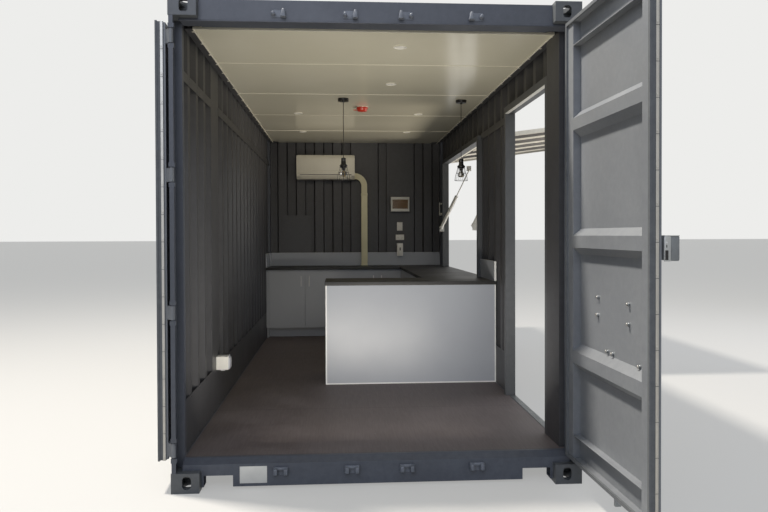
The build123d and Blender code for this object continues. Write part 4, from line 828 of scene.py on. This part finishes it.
# Ceiling: insulated panels laid across the container, with cover strips over their joints and cream
# edge strips. Dark angle strips close the gap from the panels to the walls, and over the front edge.
def coated_panel(name, base, shade, grain_mm, grain_depth, sheen, clouds_per_m=1.4):
    """A smooth factory coat or moulding: near-even colour, faint clouding, a fine skin texture."""
    coat, surface, place = start_material(name)
    clouds = node(
        coat, "TexNoise", {"Vector": place, "Scale": clouds_per_m, "Detail": 4.0, "Roughness": 0.55}
    )
    amount = node(coat, "MapRange", {0: clouds.outputs[0], 1: 0.3, 2: 0.7})
    tone = node(coat, "Mix", {0: amount.outputs[0], 6: colour(base), 7: colour(shade)}, data_type="RGBA")
    gloss = node(coat, "MapRange", {0: clouds.outputs[0], 1: 0.3, 2: 0.7, 3: sheen[0], 4: sheen[1]})
    skin = node(coat, "TexNoise", {"Vector": place, "Scale": 1000.0 / grain_mm, "Detail": 2.0})
    relief = node(coat, "Bump", {"Height": skin.outputs[0], "Strength": 0.3, "Distance": grain_depth})
    feed(coat, surface, {"Base Color": tone.outputs[2], "Roughness": gloss.outputs[0]})
    feed(coat, surface, {"Normal": relief.outputs[0], "IOR": 1.5})
    return coat


# Prepainted cream steel: glossy, it mirrors the bright yard beyond the hatch as a soft streak.
ceiling_coat = coated_panel("prepainted_cream_steel", "dad6c3", "d2ceba", 5.0, 0.0001, (0.15, 0.22))
finish(ceiling_coat, "ceiling_panels")
# Cream strip coat: a little paler and duller than the panels, so that the joints show.
trim_coat = coated_panel("ceiling_trim_coat", "e6e2d2", "dcd8c8", 2.0, 0.0001, (0.28, 0.36))
panel_face = 2.7722
dark_strips = []
for side in (-1, 1):
    for distances, inner, outer in (((0.267, 5.884), 1.1272, 1.1755), ((5.884, 6.003), 1.0470, 1.1640)):
        sideways = sorted((side * inner, side * outer))
        dark_strips.append(fitted_box("side_strip", distances, sideways, (2.7680, panel_face), 0.0006, 1))
dark_strips.append(
    fitted_box("front_strip", (0.2620, 0.2670), (-1.1620, 1.1620), (2.7835, 2.8220), 0.0006, 1)
)
angle_strips = joined("ceiling_angle_strips", dark_strips)
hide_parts("ceiling_trim")
fit(angle_strips, lining_paint, "container")
trims = [fitted_box("front_edge", (0.2615, 0.2675), (-1.1265, 1.1265), (2.7640, 2.7830), 0.0012)]
for side in (-1, 1):
    sideways = sorted((side * 1.1200, side * 1.1285))
    trims.append(fitted_box("side_edge", (0.2670, 6.0030), sideways, (2.7660, panel_face), 0.0008, 1))
for number in range(1, 5):
    joint = 1.2 * number
    cover = fitted_box(
        "joint_cover", (joint - 0.0065, joint + 0.0065), (-1.1205, 1.1205), (2.7702, panel_face)
    )
    trims.append(step_in(cover, (0, 0, -1), 0.0035, 0.0008))
for side in (-1, 1):
    sideways = (side * 1.1345 - 0.007, side * 1.1345 + 0.007)
    clip = fitted_box("clip", (0.320, 0.336), sideways, (2.7648, 2.7684), 0.0012)
    trims.append(row_of(clip, 19, (0.302, 0, 0)))
fit(joined("ceiling_joint_covers", trims), trim_coat, "container")


# Recessed lights: a spun bezel round a frosted lens with a dished middle, clipped into the ceiling.
# Two stand in line near the doors and four in two pairs further in.
def turned_piece(name, centre, outline, sides):
    """Turns a piece about a vertical axis: a ring drawn out from each radius and height to the next."""
    select_nothing()
    radius, height = outline[0]
    bpy.ops.mesh.primitive_circle_add(vertices=sides, radius=radius, location=(centre[0], centre[1], height))
    piece = bpy.context.object
    piece.name = name
    bpy.ops.object.transform_apply(location=True, rotation=True, scale=True)
    bpy.ops.object.mode_set(mode="EDIT")
    bpy.ops.mesh.select_mode(type="EDGE")
    bpy.ops.mesh.select_all(action="SELECT")
    for (near, level), (far, next_level) in zip(outline, outline[1:]):
        bpy.ops.mesh.extrude_edges_move(TRANSFORM_OT_translate={"value": (0, 0, next_level - level)})
        bpy.ops.transform.resize(
            value=(far / near, far / near, 1), center_override=(centre[0], centre[1], next_level)
        )
    bpy.ops.mesh.select_all(action="SELECT")
    bpy.ops.mesh.fill_holes(sides=0)
    bpy.ops.mesh.select_all(action="SELECT")
    bpy.ops.mesh.remove_doubles(threshold=0.00001)
    bpy.ops.mesh.normals_make_consistent(inside=False)
    bpy.ops.object.mode_set(mode="OBJECT")
    return piece


finish(trim_coat, "downlight_cans")
# White on the bezels, standing for the bright reflection of their metal rings: a painted highlight that shows
# as a bright oval.
bezel_painted_highlight = sprayed_steel("white_bezel_painted_highlight", "f4f2ea", "eae8e0", 1.2, 0.00005, (0.2, 0.3))
# Frosted acrylic: milky, slightly see-through, with a soft sheen.
frosted, frosted_skin, frosted_place = start_material("frosted_acrylic")
frosted_cells = node(frosted, "TexVoronoi", {"Vector": frosted_place, "Scale": 400.0})
frosted_tone = node(
    frosted, "Mix", {0: frosted_cells.outputs[0], 6: colour("efeee8"), 7: colour("e2e1da")}, data_type="RGBA"
)
frosted_relief = node(
    frosted, "Bump", {"Height": frosted_cells.outputs[0], "Strength": 0.4, "Distance": 0.0003}
)
feed(frosted, frosted_skin, {"Base Color": frosted_tone.outputs[2], "Normal": frosted_relief.outputs[0]})
feed(frosted, frosted_skin, {"Roughness": 0.3, "Transmission Weight": 0.25, "IOR": 1.49})
bezel_outline = (
    (0.0335, 2.7800), (0.0338, 2.7705), (0.0352, 2.7672), (0.0385, 2.7654),
    (0.0425, 2.7656), (0.0452, 2.7674), (0.0453, 2.7690), (0.0430, 2.7695),
)
lens_outline = (
    (0.0330, 2.7830), (0.0332, 2.7775), (0.0300, 2.7752),
    (0.0180, 2.7736), (0.0120, 2.7752), (0.0040, 2.7758),
)
bezels = []
lenses = []
for distance, y in (
    (0.660, -0.180), (1.910, -0.206), (3.480, -0.600),
    (4.870, -0.604), (3.470, 0.650), (4.880, 0.667),
):
    bezels.append(turned_piece("bezel", (behind_doors(distance), y), bezel_outline, 40))
    lenses.append(turned_piece("lens", (behind_doors(distance), y), lens_outline, 32))
fit(joined("downlight_bezels", bezels), bezel_painted_highlight, "container", 50)
fit(joined("downlight_lenses", lenses), frosted, "container", 50)

# Smoke detector: a moulded body under its dust cover, which has a pull tab at one side.
# Red polyethylene: saturated, slightly waxy, the one bright spot of colour on the ceiling.
red_cover = coated_panel("red_polyethylene", "d2402c", "c23522", 2.0, 0.0002, (0.3, 0.4), 30.0)
detector_centre = (behind_doors(3.070), 0.0)
cover_outline = (
    (0.0530, 2.7716), (0.0560, 2.7690), (0.0560, 2.7560), (0.0520, 2.7520), (0.0500, 2.7400),
    (0.0430, 2.7290), (0.0300, 2.7262), (0.0120, 2.7258), (0.0010, 2.7257),
)
base_outline = ((0.0600, 2.7719), (0.0610, 2.7700), (0.0600, 2.7680), (0.0555, 2.7676))
detector = turned_piece("detector_cover", detector_centre, cover_outline, 48)
tab = fitted_box("tab", (3.050, 3.090), (0.046, 0.088), (2.7400, 2.7440))
taper(tab, (0, 1, 0), (0.6, 1, 1.4), (detector_centre[0], 0.088, 2.7420))
ease_edges(tab, 0.0015, 3)
cover = joined("detector_cover", [detector, tab])
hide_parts("smoke_detector")
fit(cover, red_cover, "container", 50)
base_ring = turned_piece("detector_base", detector_centre, base_outline, 48)
fit(base_ring, trim_coat, "container", 50)


# Pendant lights: a rose, a black fabric-covered flex, a turned holder with a flared skirt, a clear
# bulb and a bell of thin wires round it.
def bent_wire(name, points, radius, ring=False):
    """Bends a wire through points and makes it a mesh."""
    select_nothing()
    curve = bpy.data.curves.new(name, "CURVE")
    curve.dimensions = "3D"
    curve.bevel_depth = radius
    curve.bevel_resolution = 2
    curve.resolution_u = 5
    curve.use_fill_caps = True
    spline = curve.splines.new("NURBS")
    spline.points.add(len(points) - 1)
    for point, place in zip(spline.points, points):
        point.co = (*place, 1)
    spline.order_u = 3
    if ring:
        spline.use_cyclic_u = True
    else:
        spline.use_endpoint_u = True
    wire = bpy.data.objects.new(name, curve)
    bpy.context.scene.collection.objects.link(wire)
    wire.select_set(True)
    bpy.context.view_layer.objects.active = wire
    bpy.ops.object.convert(target="MESH")
    return bpy.context.object


def around(centre, radius, height, count):
    """Points evenly round a level circle."""
    return [
        (
            centre[0] + radius * math.cos(math.tau * number / count),
            centre[1] + radius * math.sin(math.tau * number / count),
            height,
        )
        for number in range(count)
    ]


# Phenolic moulding: deep black, with a soft gloss that draws a thin highlight down the holder.
black_moulding = coated_panel("black_phenolic", "131314", "1c1c1d", 1.2, 0.00005, (0.26, 0.36), 30.0)
finish(black_moulding, "pendant_roses")
# Braided cotton sleeve of 1 mm threads: dull black.
flex_sleeve = coated_panel("braided_flex", "141414", "242424", 1.0, 0.0004, (0.75, 0.9), 60.0)
# Clear glass, blown thin: mostly its highlights and darker rims are seen.
clear_glass, glass_skin, glass_place = start_material("clear_bulb_glass")
glass_ripple = node(clear_glass, "TexNoise", {"Vector": glass_place, "Scale": 60.0, "Detail": 1.0})
glass_relief = node(
    clear_glass, "Bump", {"Height": glass_ripple.outputs[0], "Strength": 0.15, "Distance": 0.0003}
)
feed(clear_glass, glass_skin, {"Base Color": colour("fbfaf5"), "Normal": glass_relief.outputs[0]})
feed(clear_glass, glass_skin, {"Roughness": 0.02, "Transmission Weight": 1.0, "IOR": 1.5})
# Stoved black enamel on wire: a fine sheen along each wire of the cage.
black_enamel = sprayed_steel("black_enamel", "1b1c1e", "2a2b2d", 1.5, 0.00005, (0.3, 0.4))
# Tungsten on a brass-coloured mount: a warm thread in the bulb.
filament_metal = brushed_metal("brass_mount", "c9a860", "a98b4c", (300.0, 300.0, 300.0), (0.3, 0.45))
rose_outline = ((0.0503, 2.7716), (0.0515, 2.7690), (0.0515, 2.7600), (0.0503, 2.7585))
nipple_outline = ((0.0120, 2.7462), (0.0105, 2.7400), (0.0060, 2.7340), (0.0036, 2.7330))
holder_outline = (
    (0.0034, 2.2240), (0.0080, 2.2232), (0.0160, 2.2215), (0.0212, 2.2180), (0.0220, 2.2120),
    (0.0220, 2.1960), (0.0205, 2.1945), (0.0205, 2.1915), (0.0220, 2.1900), (0.0222, 2.1700),
    (0.0245, 2.1640), (0.0365, 2.1520), (0.0374, 2.1480), (0.0360, 2.1440), (0.0310, 2.1400),
    (0.0165, 2.1260), (0.0155, 2.1180), (0.0150, 2.1090),
)
bulb_outline = (
    (0.0132, 2.1180), (0.0135, 2.1080), (0.0165, 2.0990), (0.0225, 2.0890), (0.0275, 2.0790),
    (0.0298, 2.0690), (0.0290, 2.0600), (0.0250, 2.0525), (0.0185, 2.0480),
    (0.0100, 2.0462), (0.0010, 2.0460),
)
cage_outline = (
    (0.0330, 2.1440), (0.0350, 2.1280), (0.0420, 2.1000),
    (0.0540, 2.0640), (0.0600, 2.0360), (0.0610, 2.0160),
)
thread_reach = 0.009
thread_top = 2.0930
thread_foot = 2.0600
for side, distance, y in (("left", 2.610, 0.190), ("right", 2.650, -0.920)):
    centre = (behind_doors(distance), y)
    rose_ring = turned_piece("rose_rim", centre, rose_outline, 48)
    nipple = turned_piece("nipple", centre, nipple_outline, 24)
    fit(
        joined("pendant_rose_trim_" + side, [rose_ring, nipple]),
        black_moulding,
        "container",
        50,
    )
    holder = turned_piece("pendant_holder_" + side, centre, holder_outline, 48)
    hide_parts("pendant_lamp_" + side)
    fit(holder, black_moulding, "container", 45)
    bulb = turned_piece("pendant_bulb_" + side, centre, bulb_outline, 40)
    fit(bulb, clear_glass, "container", 60)
    coil = [bent_wire("mount", [(*centre, level) for level in (2.1100, 2.0950, 2.0800)], 0.0022)]
    for number in range(6):
        turn = math.tau * number / 6
        out = (centre[0] + thread_reach * math.cos(turn), centre[1] + thread_reach * math.sin(turn))
        levels = (thread_top, 2.0760, thread_foot)
        coil.append(bent_wire("thread", [(*out, level) for level in levels], 0.0007))
    for level in (thread_top, thread_foot):
        coil.append(bent_wire("hoop", around(centre, thread_reach, level, 8), 0.0006, True))
    filament = fit(
        joined("pendant_filament_" + side, coil), filament_metal, "container", 60
    )
    wires = []
    for number in range(10):
        turn = math.tau * number / 10
        ray = Vector((math.cos(turn), math.sin(turn), 0))
        hub = Vector((*centre, 0))
        points = [hub + ray * reach + Vector((0, 0, level)) for reach, level in cage_outline]
        wires.append(bent_wire("cage_wire", points, 0.0013))
    for radius, level in ((0.0345, 2.1330), (0.0465, 2.0850), (0.0612, 2.0160)):
        wires.append(bent_wire("cage_hoop", around(centre, radius * 1.02, level, 16), 0.0016, True))
    cage = fit(joined("pendant_cage_" + side, wires), black_enamel, "container", 60)
    # The flex runs from the rose down through the holder to its terminals
    low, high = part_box("pendant_flex_" + side)
    flex_end = 2.112
    curve = bpy.data.curves.new("flex_" + side, "CURVE")
    curve.dimensions = "3D"
    curve.bevel_depth = (high.x - low.x) / 2
    curve.bevel_resolution = 3
    spline = curve.splines.new("NURBS")
    spline.points.add(4)
    for count, point in enumerate(spline.points):
        point.co = (centre[0], centre[1], high.z + (flex_end - high.z) * count / 4, 1)
    spline.order_u = 3
    spline.use_endpoint_u = True
    flex = bpy.data.objects.new("flex_" + side, curve)
    bpy.context.scene.collection.objects.link(flex)
    curve.materials.append(flex_sleeve)
    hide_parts("pendant_flex_" + side)
    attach(flex, "container")

# Wall cooler: an ABS casing hung on the end wall, with a front cover that stops short of both ends, an intake
# grille on top and a swinging louvre over the outlet slot below, which is a black strip of painted shade.
# Moulded ABS, yellowed a little: warm off-white with a fine satin skin.
cream_abs = coated_panel("cream_abs", "e9e5d6", "dfdbcb", 1.5, 0.00006, (0.3, 0.38), 3.0)
finish(cream_abs, "air_conditioner")
cooler_face = 5.798
cover_back = cooler_face + 0.001
cover_across = (0.0285, 0.7855)
front_depth = (cooler_face - 0.006, cover_back)
lower_depth = (cooler_face - 0.003, cover_back)
front_cover = fitted_box("front_cover", front_depth, cover_across, (2.3700, 2.5480), 0.0025, 3)
lower_cover = fitted_box("lower_cover", lower_depth, cover_across, (2.3260, 2.3660), 0.0015)
end_caps = []
for near, far in ((0.0155, 0.0260), (0.7880, 0.7985)):
    end_caps.append(
        fitted_box("end_cap", (cooler_face - 0.0035, 6.0025), (near, far), (2.3240, 2.5500), 0.003, 3)
    )
top_line = fitted_box(
    "top_line", (cooler_face + 0.0150, cooler_face + 0.0300), (0.0280, 0.7860), (2.5700, 2.5825), 0.002
)
louvre = box_piece("louvre", (-0.0015, 0.0600, -0.0300), (0.0015, 0.7540, 0.0220), 0.0012)
louvre.rotation_euler = (0, math.radians(-36.9), 0)
louvre.location = (behind_doors(cooler_face + 0.0180), 0, 2.2870)
pick(louvre)
bpy.ops.object.transform_apply(location=True, rotation=True, scale=True)
fit(
    joined("cooler_casing", [front_cover, lower_cover, *end_caps, top_line, louvre]),
    cream_abs,
    "container",
)
slats = fitted_box(
    "slat", (cooler_face + 0.040, cooler_face + 0.046), (0.050, 0.764), (2.5795, 2.5825), 0.001, 1
)
row_of(slats, 11, (0.0125, 0, 0))
# The outlet slot under the louvre is a black strip of painted shade standing for the dark opening.
slot_depth = (cooler_face - 0.0015, cooler_face + 0.0120)
outlet_shade_strip = fitted_box("outlet_shade_strip", slot_depth, (0.0600, 0.7540), (2.3150, 2.3225), 0.0006, 1)
fit(joined("cooler_slots", [slats, outlet_shade_strip]), black_moulding, "container")

# Pipe trunking: a moulded elbow and a straight cover, with rings at its foot, its coupling and its
# mouth, clipped on a base.
# Cream PVC: yellower than the cooler's casing, with a faint satin sheen.
trunk_cream = coated_panel("cream_pvc", "e2dcb9", "d8d2b0", 1.5, 0.00006, (0.34, 0.44), 3.0)
finish(trunk_cream, "pipe_trunking")
straight = fitted_box("straight_cover", (5.9215, 5.9868), (-0.1590, -0.0750), (1.0885, 2.0560), 0.004, 3)
coupling = fitted_box("coupling", (5.9190, 5.9868), (-0.1615, -0.0725), (2.0450, 2.0760), 0.003, 3)
foot_ring = fitted_box("foot_ring", (5.9190, 5.9868), (-0.1615, -0.0725), (1.0872, 1.1050), 0.003, 3)
mouth = fitted_box("mouth", (5.9190, 5.9868), (0.0060, 0.0172), (2.2640, 2.3540), 0.003, 3)
fit(
    joined("trunking_covers", [straight, coupling, foot_ring, mouth]),
    trunk_cream,
    "container",
)

# Switchboard: a moulded enclosure with a raised lid frame round a hinged, smoke-amber window. Behind
# the window stand a row of breakers with black toggles.
finish(white_coat, "switchboard")
# Tinted polycarbonate: brown and see-through, glossy enough to mirror the doorway.
amber_window, amber_skin, amber_place = start_material("amber_polycarbonate")
amber_clouds = node(amber_window, "TexNoise", {"Vector": amber_place, "Scale": 9.0, "Detail": 2.0})
amber_tone = node(
    amber_window,
    "Mix",
    {0: amber_clouds.outputs[0], 6: colour("7a5a30"), 7: colour("8e6b3c")},
    data_type="RGBA",
)
feed(amber_window, amber_skin, {"Base Color": amber_tone.outputs[2], "Roughness": 0.12})
feed(amber_window, amber_skin, {"Alpha": 0.72, "IOR": 1.58})
board_face = 5.933
lid_depth = (board_face - 0.010, board_face + 0.001)
lid_parts = []
for sideways, heights in (
    ((-0.7360, -0.4840), (1.8255, 1.8640)),
    ((-0.7360, -0.4840), (1.9880, 2.0225)),
    ((-0.7360, -0.7165), (1.8620, 1.9900)),
    ((-0.5035, -0.4840), (1.8620, 1.9900)),
):
    lid_parts.append(fitted_box("lid", lid_depth, sideways, heights, 0.0025, 3))
fit(joined("switchboard_lid", lid_parts), white_coat, "container")
breaker_pitch = 0.0182
breaker_depth = (board_face - 0.0035, board_face + 0.0005)
breakers = fitted_box("breakers", breaker_depth, (-0.7100, -0.6930), (1.8850, 1.9650), 0.0012)
fit(row_of(breakers, 11, (0, breaker_pitch, 0)), white_coat, "container")
toggle_depth = (board_face - 0.0062, board_face - 0.0030)
toggle = fitted_box("toggle", toggle_depth, (-0.7065, -0.6965), (1.9120, 1.9360), 0.001)
dark_parts = [row_of(toggle, 11, (0, breaker_pitch, 0))]
for heights in ((1.8640, 1.8830), (1.9670, 1.9880)):
    backing_depth = (board_face - 0.0012, board_face + 0.0004)
    dark_parts.append(fitted_box("backing", backing_depth, (-0.7165, -0.5035), heights, 0.0004, 1))
fit(joined("breaker_toggles", dark_parts), black_moulding, "container")
window_depth = (board_face - 0.0090, board_face - 0.0072)
window = fitted_box("switchboard_window", window_depth, (-0.7160, -0.5040), (1.8645, 1.9875), 0.0004, 1)
fit(window, amber_window, "container")

# Switch, double outlet and isolator: moulded plates on the cover plate, with rockers and pin slots.
# Urea moulding: white, harder and glossier than ABS.
urea = coated_panel("white_urea", "eceae2", "e2e0d8", 1.2, 0.00005, (0.24, 0.32), 6.0)
finish(urea, "wall_outlets")
switch_face = 5.991
plate_depth = (switch_face - 0.003, switch_face + 0.001)
plates = [
    fitted_box("switch_plate", plate_depth, (-0.6420, -0.5740), (1.5660, 1.6740), 0.002),
    fitted_box("outlet_plate", plate_depth, (-0.6625, -0.5555), (1.4360, 1.5040), 0.002),
]
for places, width, front, heights in (
    ((-0.6240, -0.6070), 0.0150, 0.0065, (1.6010, 1.6390)),
    ((-0.6450, -0.5900), 0.0170, 0.0060, (1.4870, 1.4990)),
):
    for y in places:
        rocker_depth = (switch_face - front, switch_face - 0.002)
        plates.append(fitted_box("rocker", rocker_depth, (y, y + width), heights, 0.0015))
lid = fitted_box("isolator_lid", (5.937, 5.944), (-0.6430, -0.5730), (1.2180, 1.3840))
taper(lid, (0, 0, -1), (1, 0.72, 1), (behind_doors(5.94), -0.6080, 1.2180))
plates.append(ease_edges(lid, 0.003, 3))
fit(joined("outlet_plates", plates), urea, "container")
# The pin slots are black marks of painted shade standing for the dark holes; the isolator's lever is black
# moulding.
slots = []
for outlet in (-0.6365, -0.5815):
    for shift, lift in ((-0.008, 0.006), (0.008, 0.006), (0.0, -0.010)):
        y = outlet + shift
        z = 1.4600 + lift
        slot_depth = (switch_face - 0.0034, switch_face - 0.0025)
        sideways = (y - 0.0011, y + 0.0011)
        heights = (z - 0.0045, z + 0.0045)
        slots.append(fitted_box("pin_slot", slot_depth, sideways, heights, 0.0003, 1))
slots.append(fitted_box("lever", (5.930, 5.938), (-0.6150, -0.6010), (1.2900, 1.3300), 0.003, 3))
fit(joined("outlet_slots", slots), black_moulding, "container")

# Weatherproof outlet low on the left wall: a moulded body screwed through the skirting, with a
# hinged lid, its catch and a cable gland below.
side_x = behind_doors(1.420)
lid_y = 1.082
lid = box_piece(
    "lid", (side_x - 0.0440, lid_y - 0.008, 0.4830), (side_x + 0.0440, lid_y + 0.001, 0.5720), 0.006, 3
)
side_parts = [
    step_in(lid, (0, -1, 0), 0.010, -0.0015),
    round_piece("hinge", (side_x - 0.0400, lid_y + 0.0010, 0.5800), 0.0045, 0.0800, "X", 0.001, 16),
    box_piece("gland", (side_x - 0.0120, 1.1150, 0.4660), (side_x + 0.0120, 1.1450, 0.4810), 0.003, 3),
    box_piece(
        "catch", (side_x + 0.0450, lid_y + 0.002, 0.5600), (side_x + 0.0540, lid_y + 0.020, 0.5800), 0.002
    ),
]
# Pale grey urea moulding: cooler in tone than the white plates, with the same gloss.
grey_urea = coated_panel("grey_urea", "c3c4cb", "b8b9c0", 1.2, 0.00005, (0.24, 0.32), 6.0)
fit(joined("side_outlet_lid", side_parts), grey_urea, "container")

# Joinery: melamine-faced particle board for the counter, cabinets and upstand, edged with white
# strip, and laminated bench tops with a nosing along their free edges.
# Melamine, white in itself, painted a pale grey as shade on the counter and upstand: cool and even, with a
# broad satin glare.
counter_laminate = coated_panel("melamine_painted_shade_grey", "a2a6ac", "9a9ea5", 1.2, 0.0001, (0.3, 0.4), 1.2)
finish(counter_laminate, "counter_panels", "upstand")
# The cabinets' melamine is a trace warmer than the counter's.
cabinet_laminate = coated_panel("grey_melamine", "a4a7ab", "9c9fa3", 1.2, 0.0001, (0.3, 0.4), 1.2)
finish(cabinet_laminate, "base_cabinet", "cabinet_doors")
# Charcoal laminate: nearly black, with a matt grain that keeps reflections dim.
bench_laminate = coated_panel("charcoal_laminate", "232322", "2c2b2a", 1.5, 0.00015, (0.46, 0.58), 2.0)
finish(bench_laminate, "bench_top")
# White on the steel bar handles, standing for their bright reflections: a painted highlight that draws bright
# lines on the grey doors.
handle_painted_highlight = sprayed_steel("handle_white_painted_highlight", "efeee9", "e4e3de", 1.0, 0.00005, (0.16, 0.26))
finish(handle_painted_highlight, "cabinet_handles")
# White edge strip: it draws the counter's outline as thin bright lines.
white_edge = coated_panel("white_edge_strip", "e8e8e4", "dededa", 1.2, 0.00005, (0.3, 0.4), 6.0)
counter_face = 2.275
counter_edge = (counter_face - 0.0012, counter_face)
upstand_top = (1.2618, 1.2632)
edges = []
for distances, sideways, heights in (
    (counter_edge, (0.3450, 0.3575), (0.1765, 1.0545)),
    (counter_edge, (-1.1715, -1.1610), (0.1765, 1.0545)),
    (counter_edge, (-1.1610, 0.3450), (0.1765, 0.1870)),
    ((5.9862, 6.0035), (-1.1620, 1.1620), upstand_top),
    ((2.2740, 2.9490), (-1.1755, -1.1585), upstand_top),
    ((2.2735, 2.2752), (-1.1755, -1.1585), (1.0875, 1.2630)),
    ((5.3910, 5.8790), (1.1585, 1.1755), upstand_top),
):
    edges.append(fitted_box("edge", distances, sideways, heights, 0.0004, 1))
edges.append(fitted_box("edge", (counter_face, 2.873), (0.3572, 0.3580), (0.1765, 0.1870), 0.0003, 1))
fit(joined("white_edging", edges), white_edge, "container")
# Bullnose strip along the bench's free edges
nosing = []
for distances, sideways in (
    ((2.2685, 2.2715), (-1.1750, 0.3620)),
    ((2.2700, 2.8790), (0.3605, 0.3630)),
    ((2.8775, 2.8800), (-0.5720, 0.3625)),
    ((2.8780, 5.3890), (-0.5725, -0.5705)),
    ((5.3872, 5.3900), (-0.5715, 1.1740)),
):
    nosing.append(fitted_box("nosing", distances, sideways, (1.0560, 1.0864), 0.0012, 3))
fit(joined("bench_nosing", nosing), bench_laminate, "container")
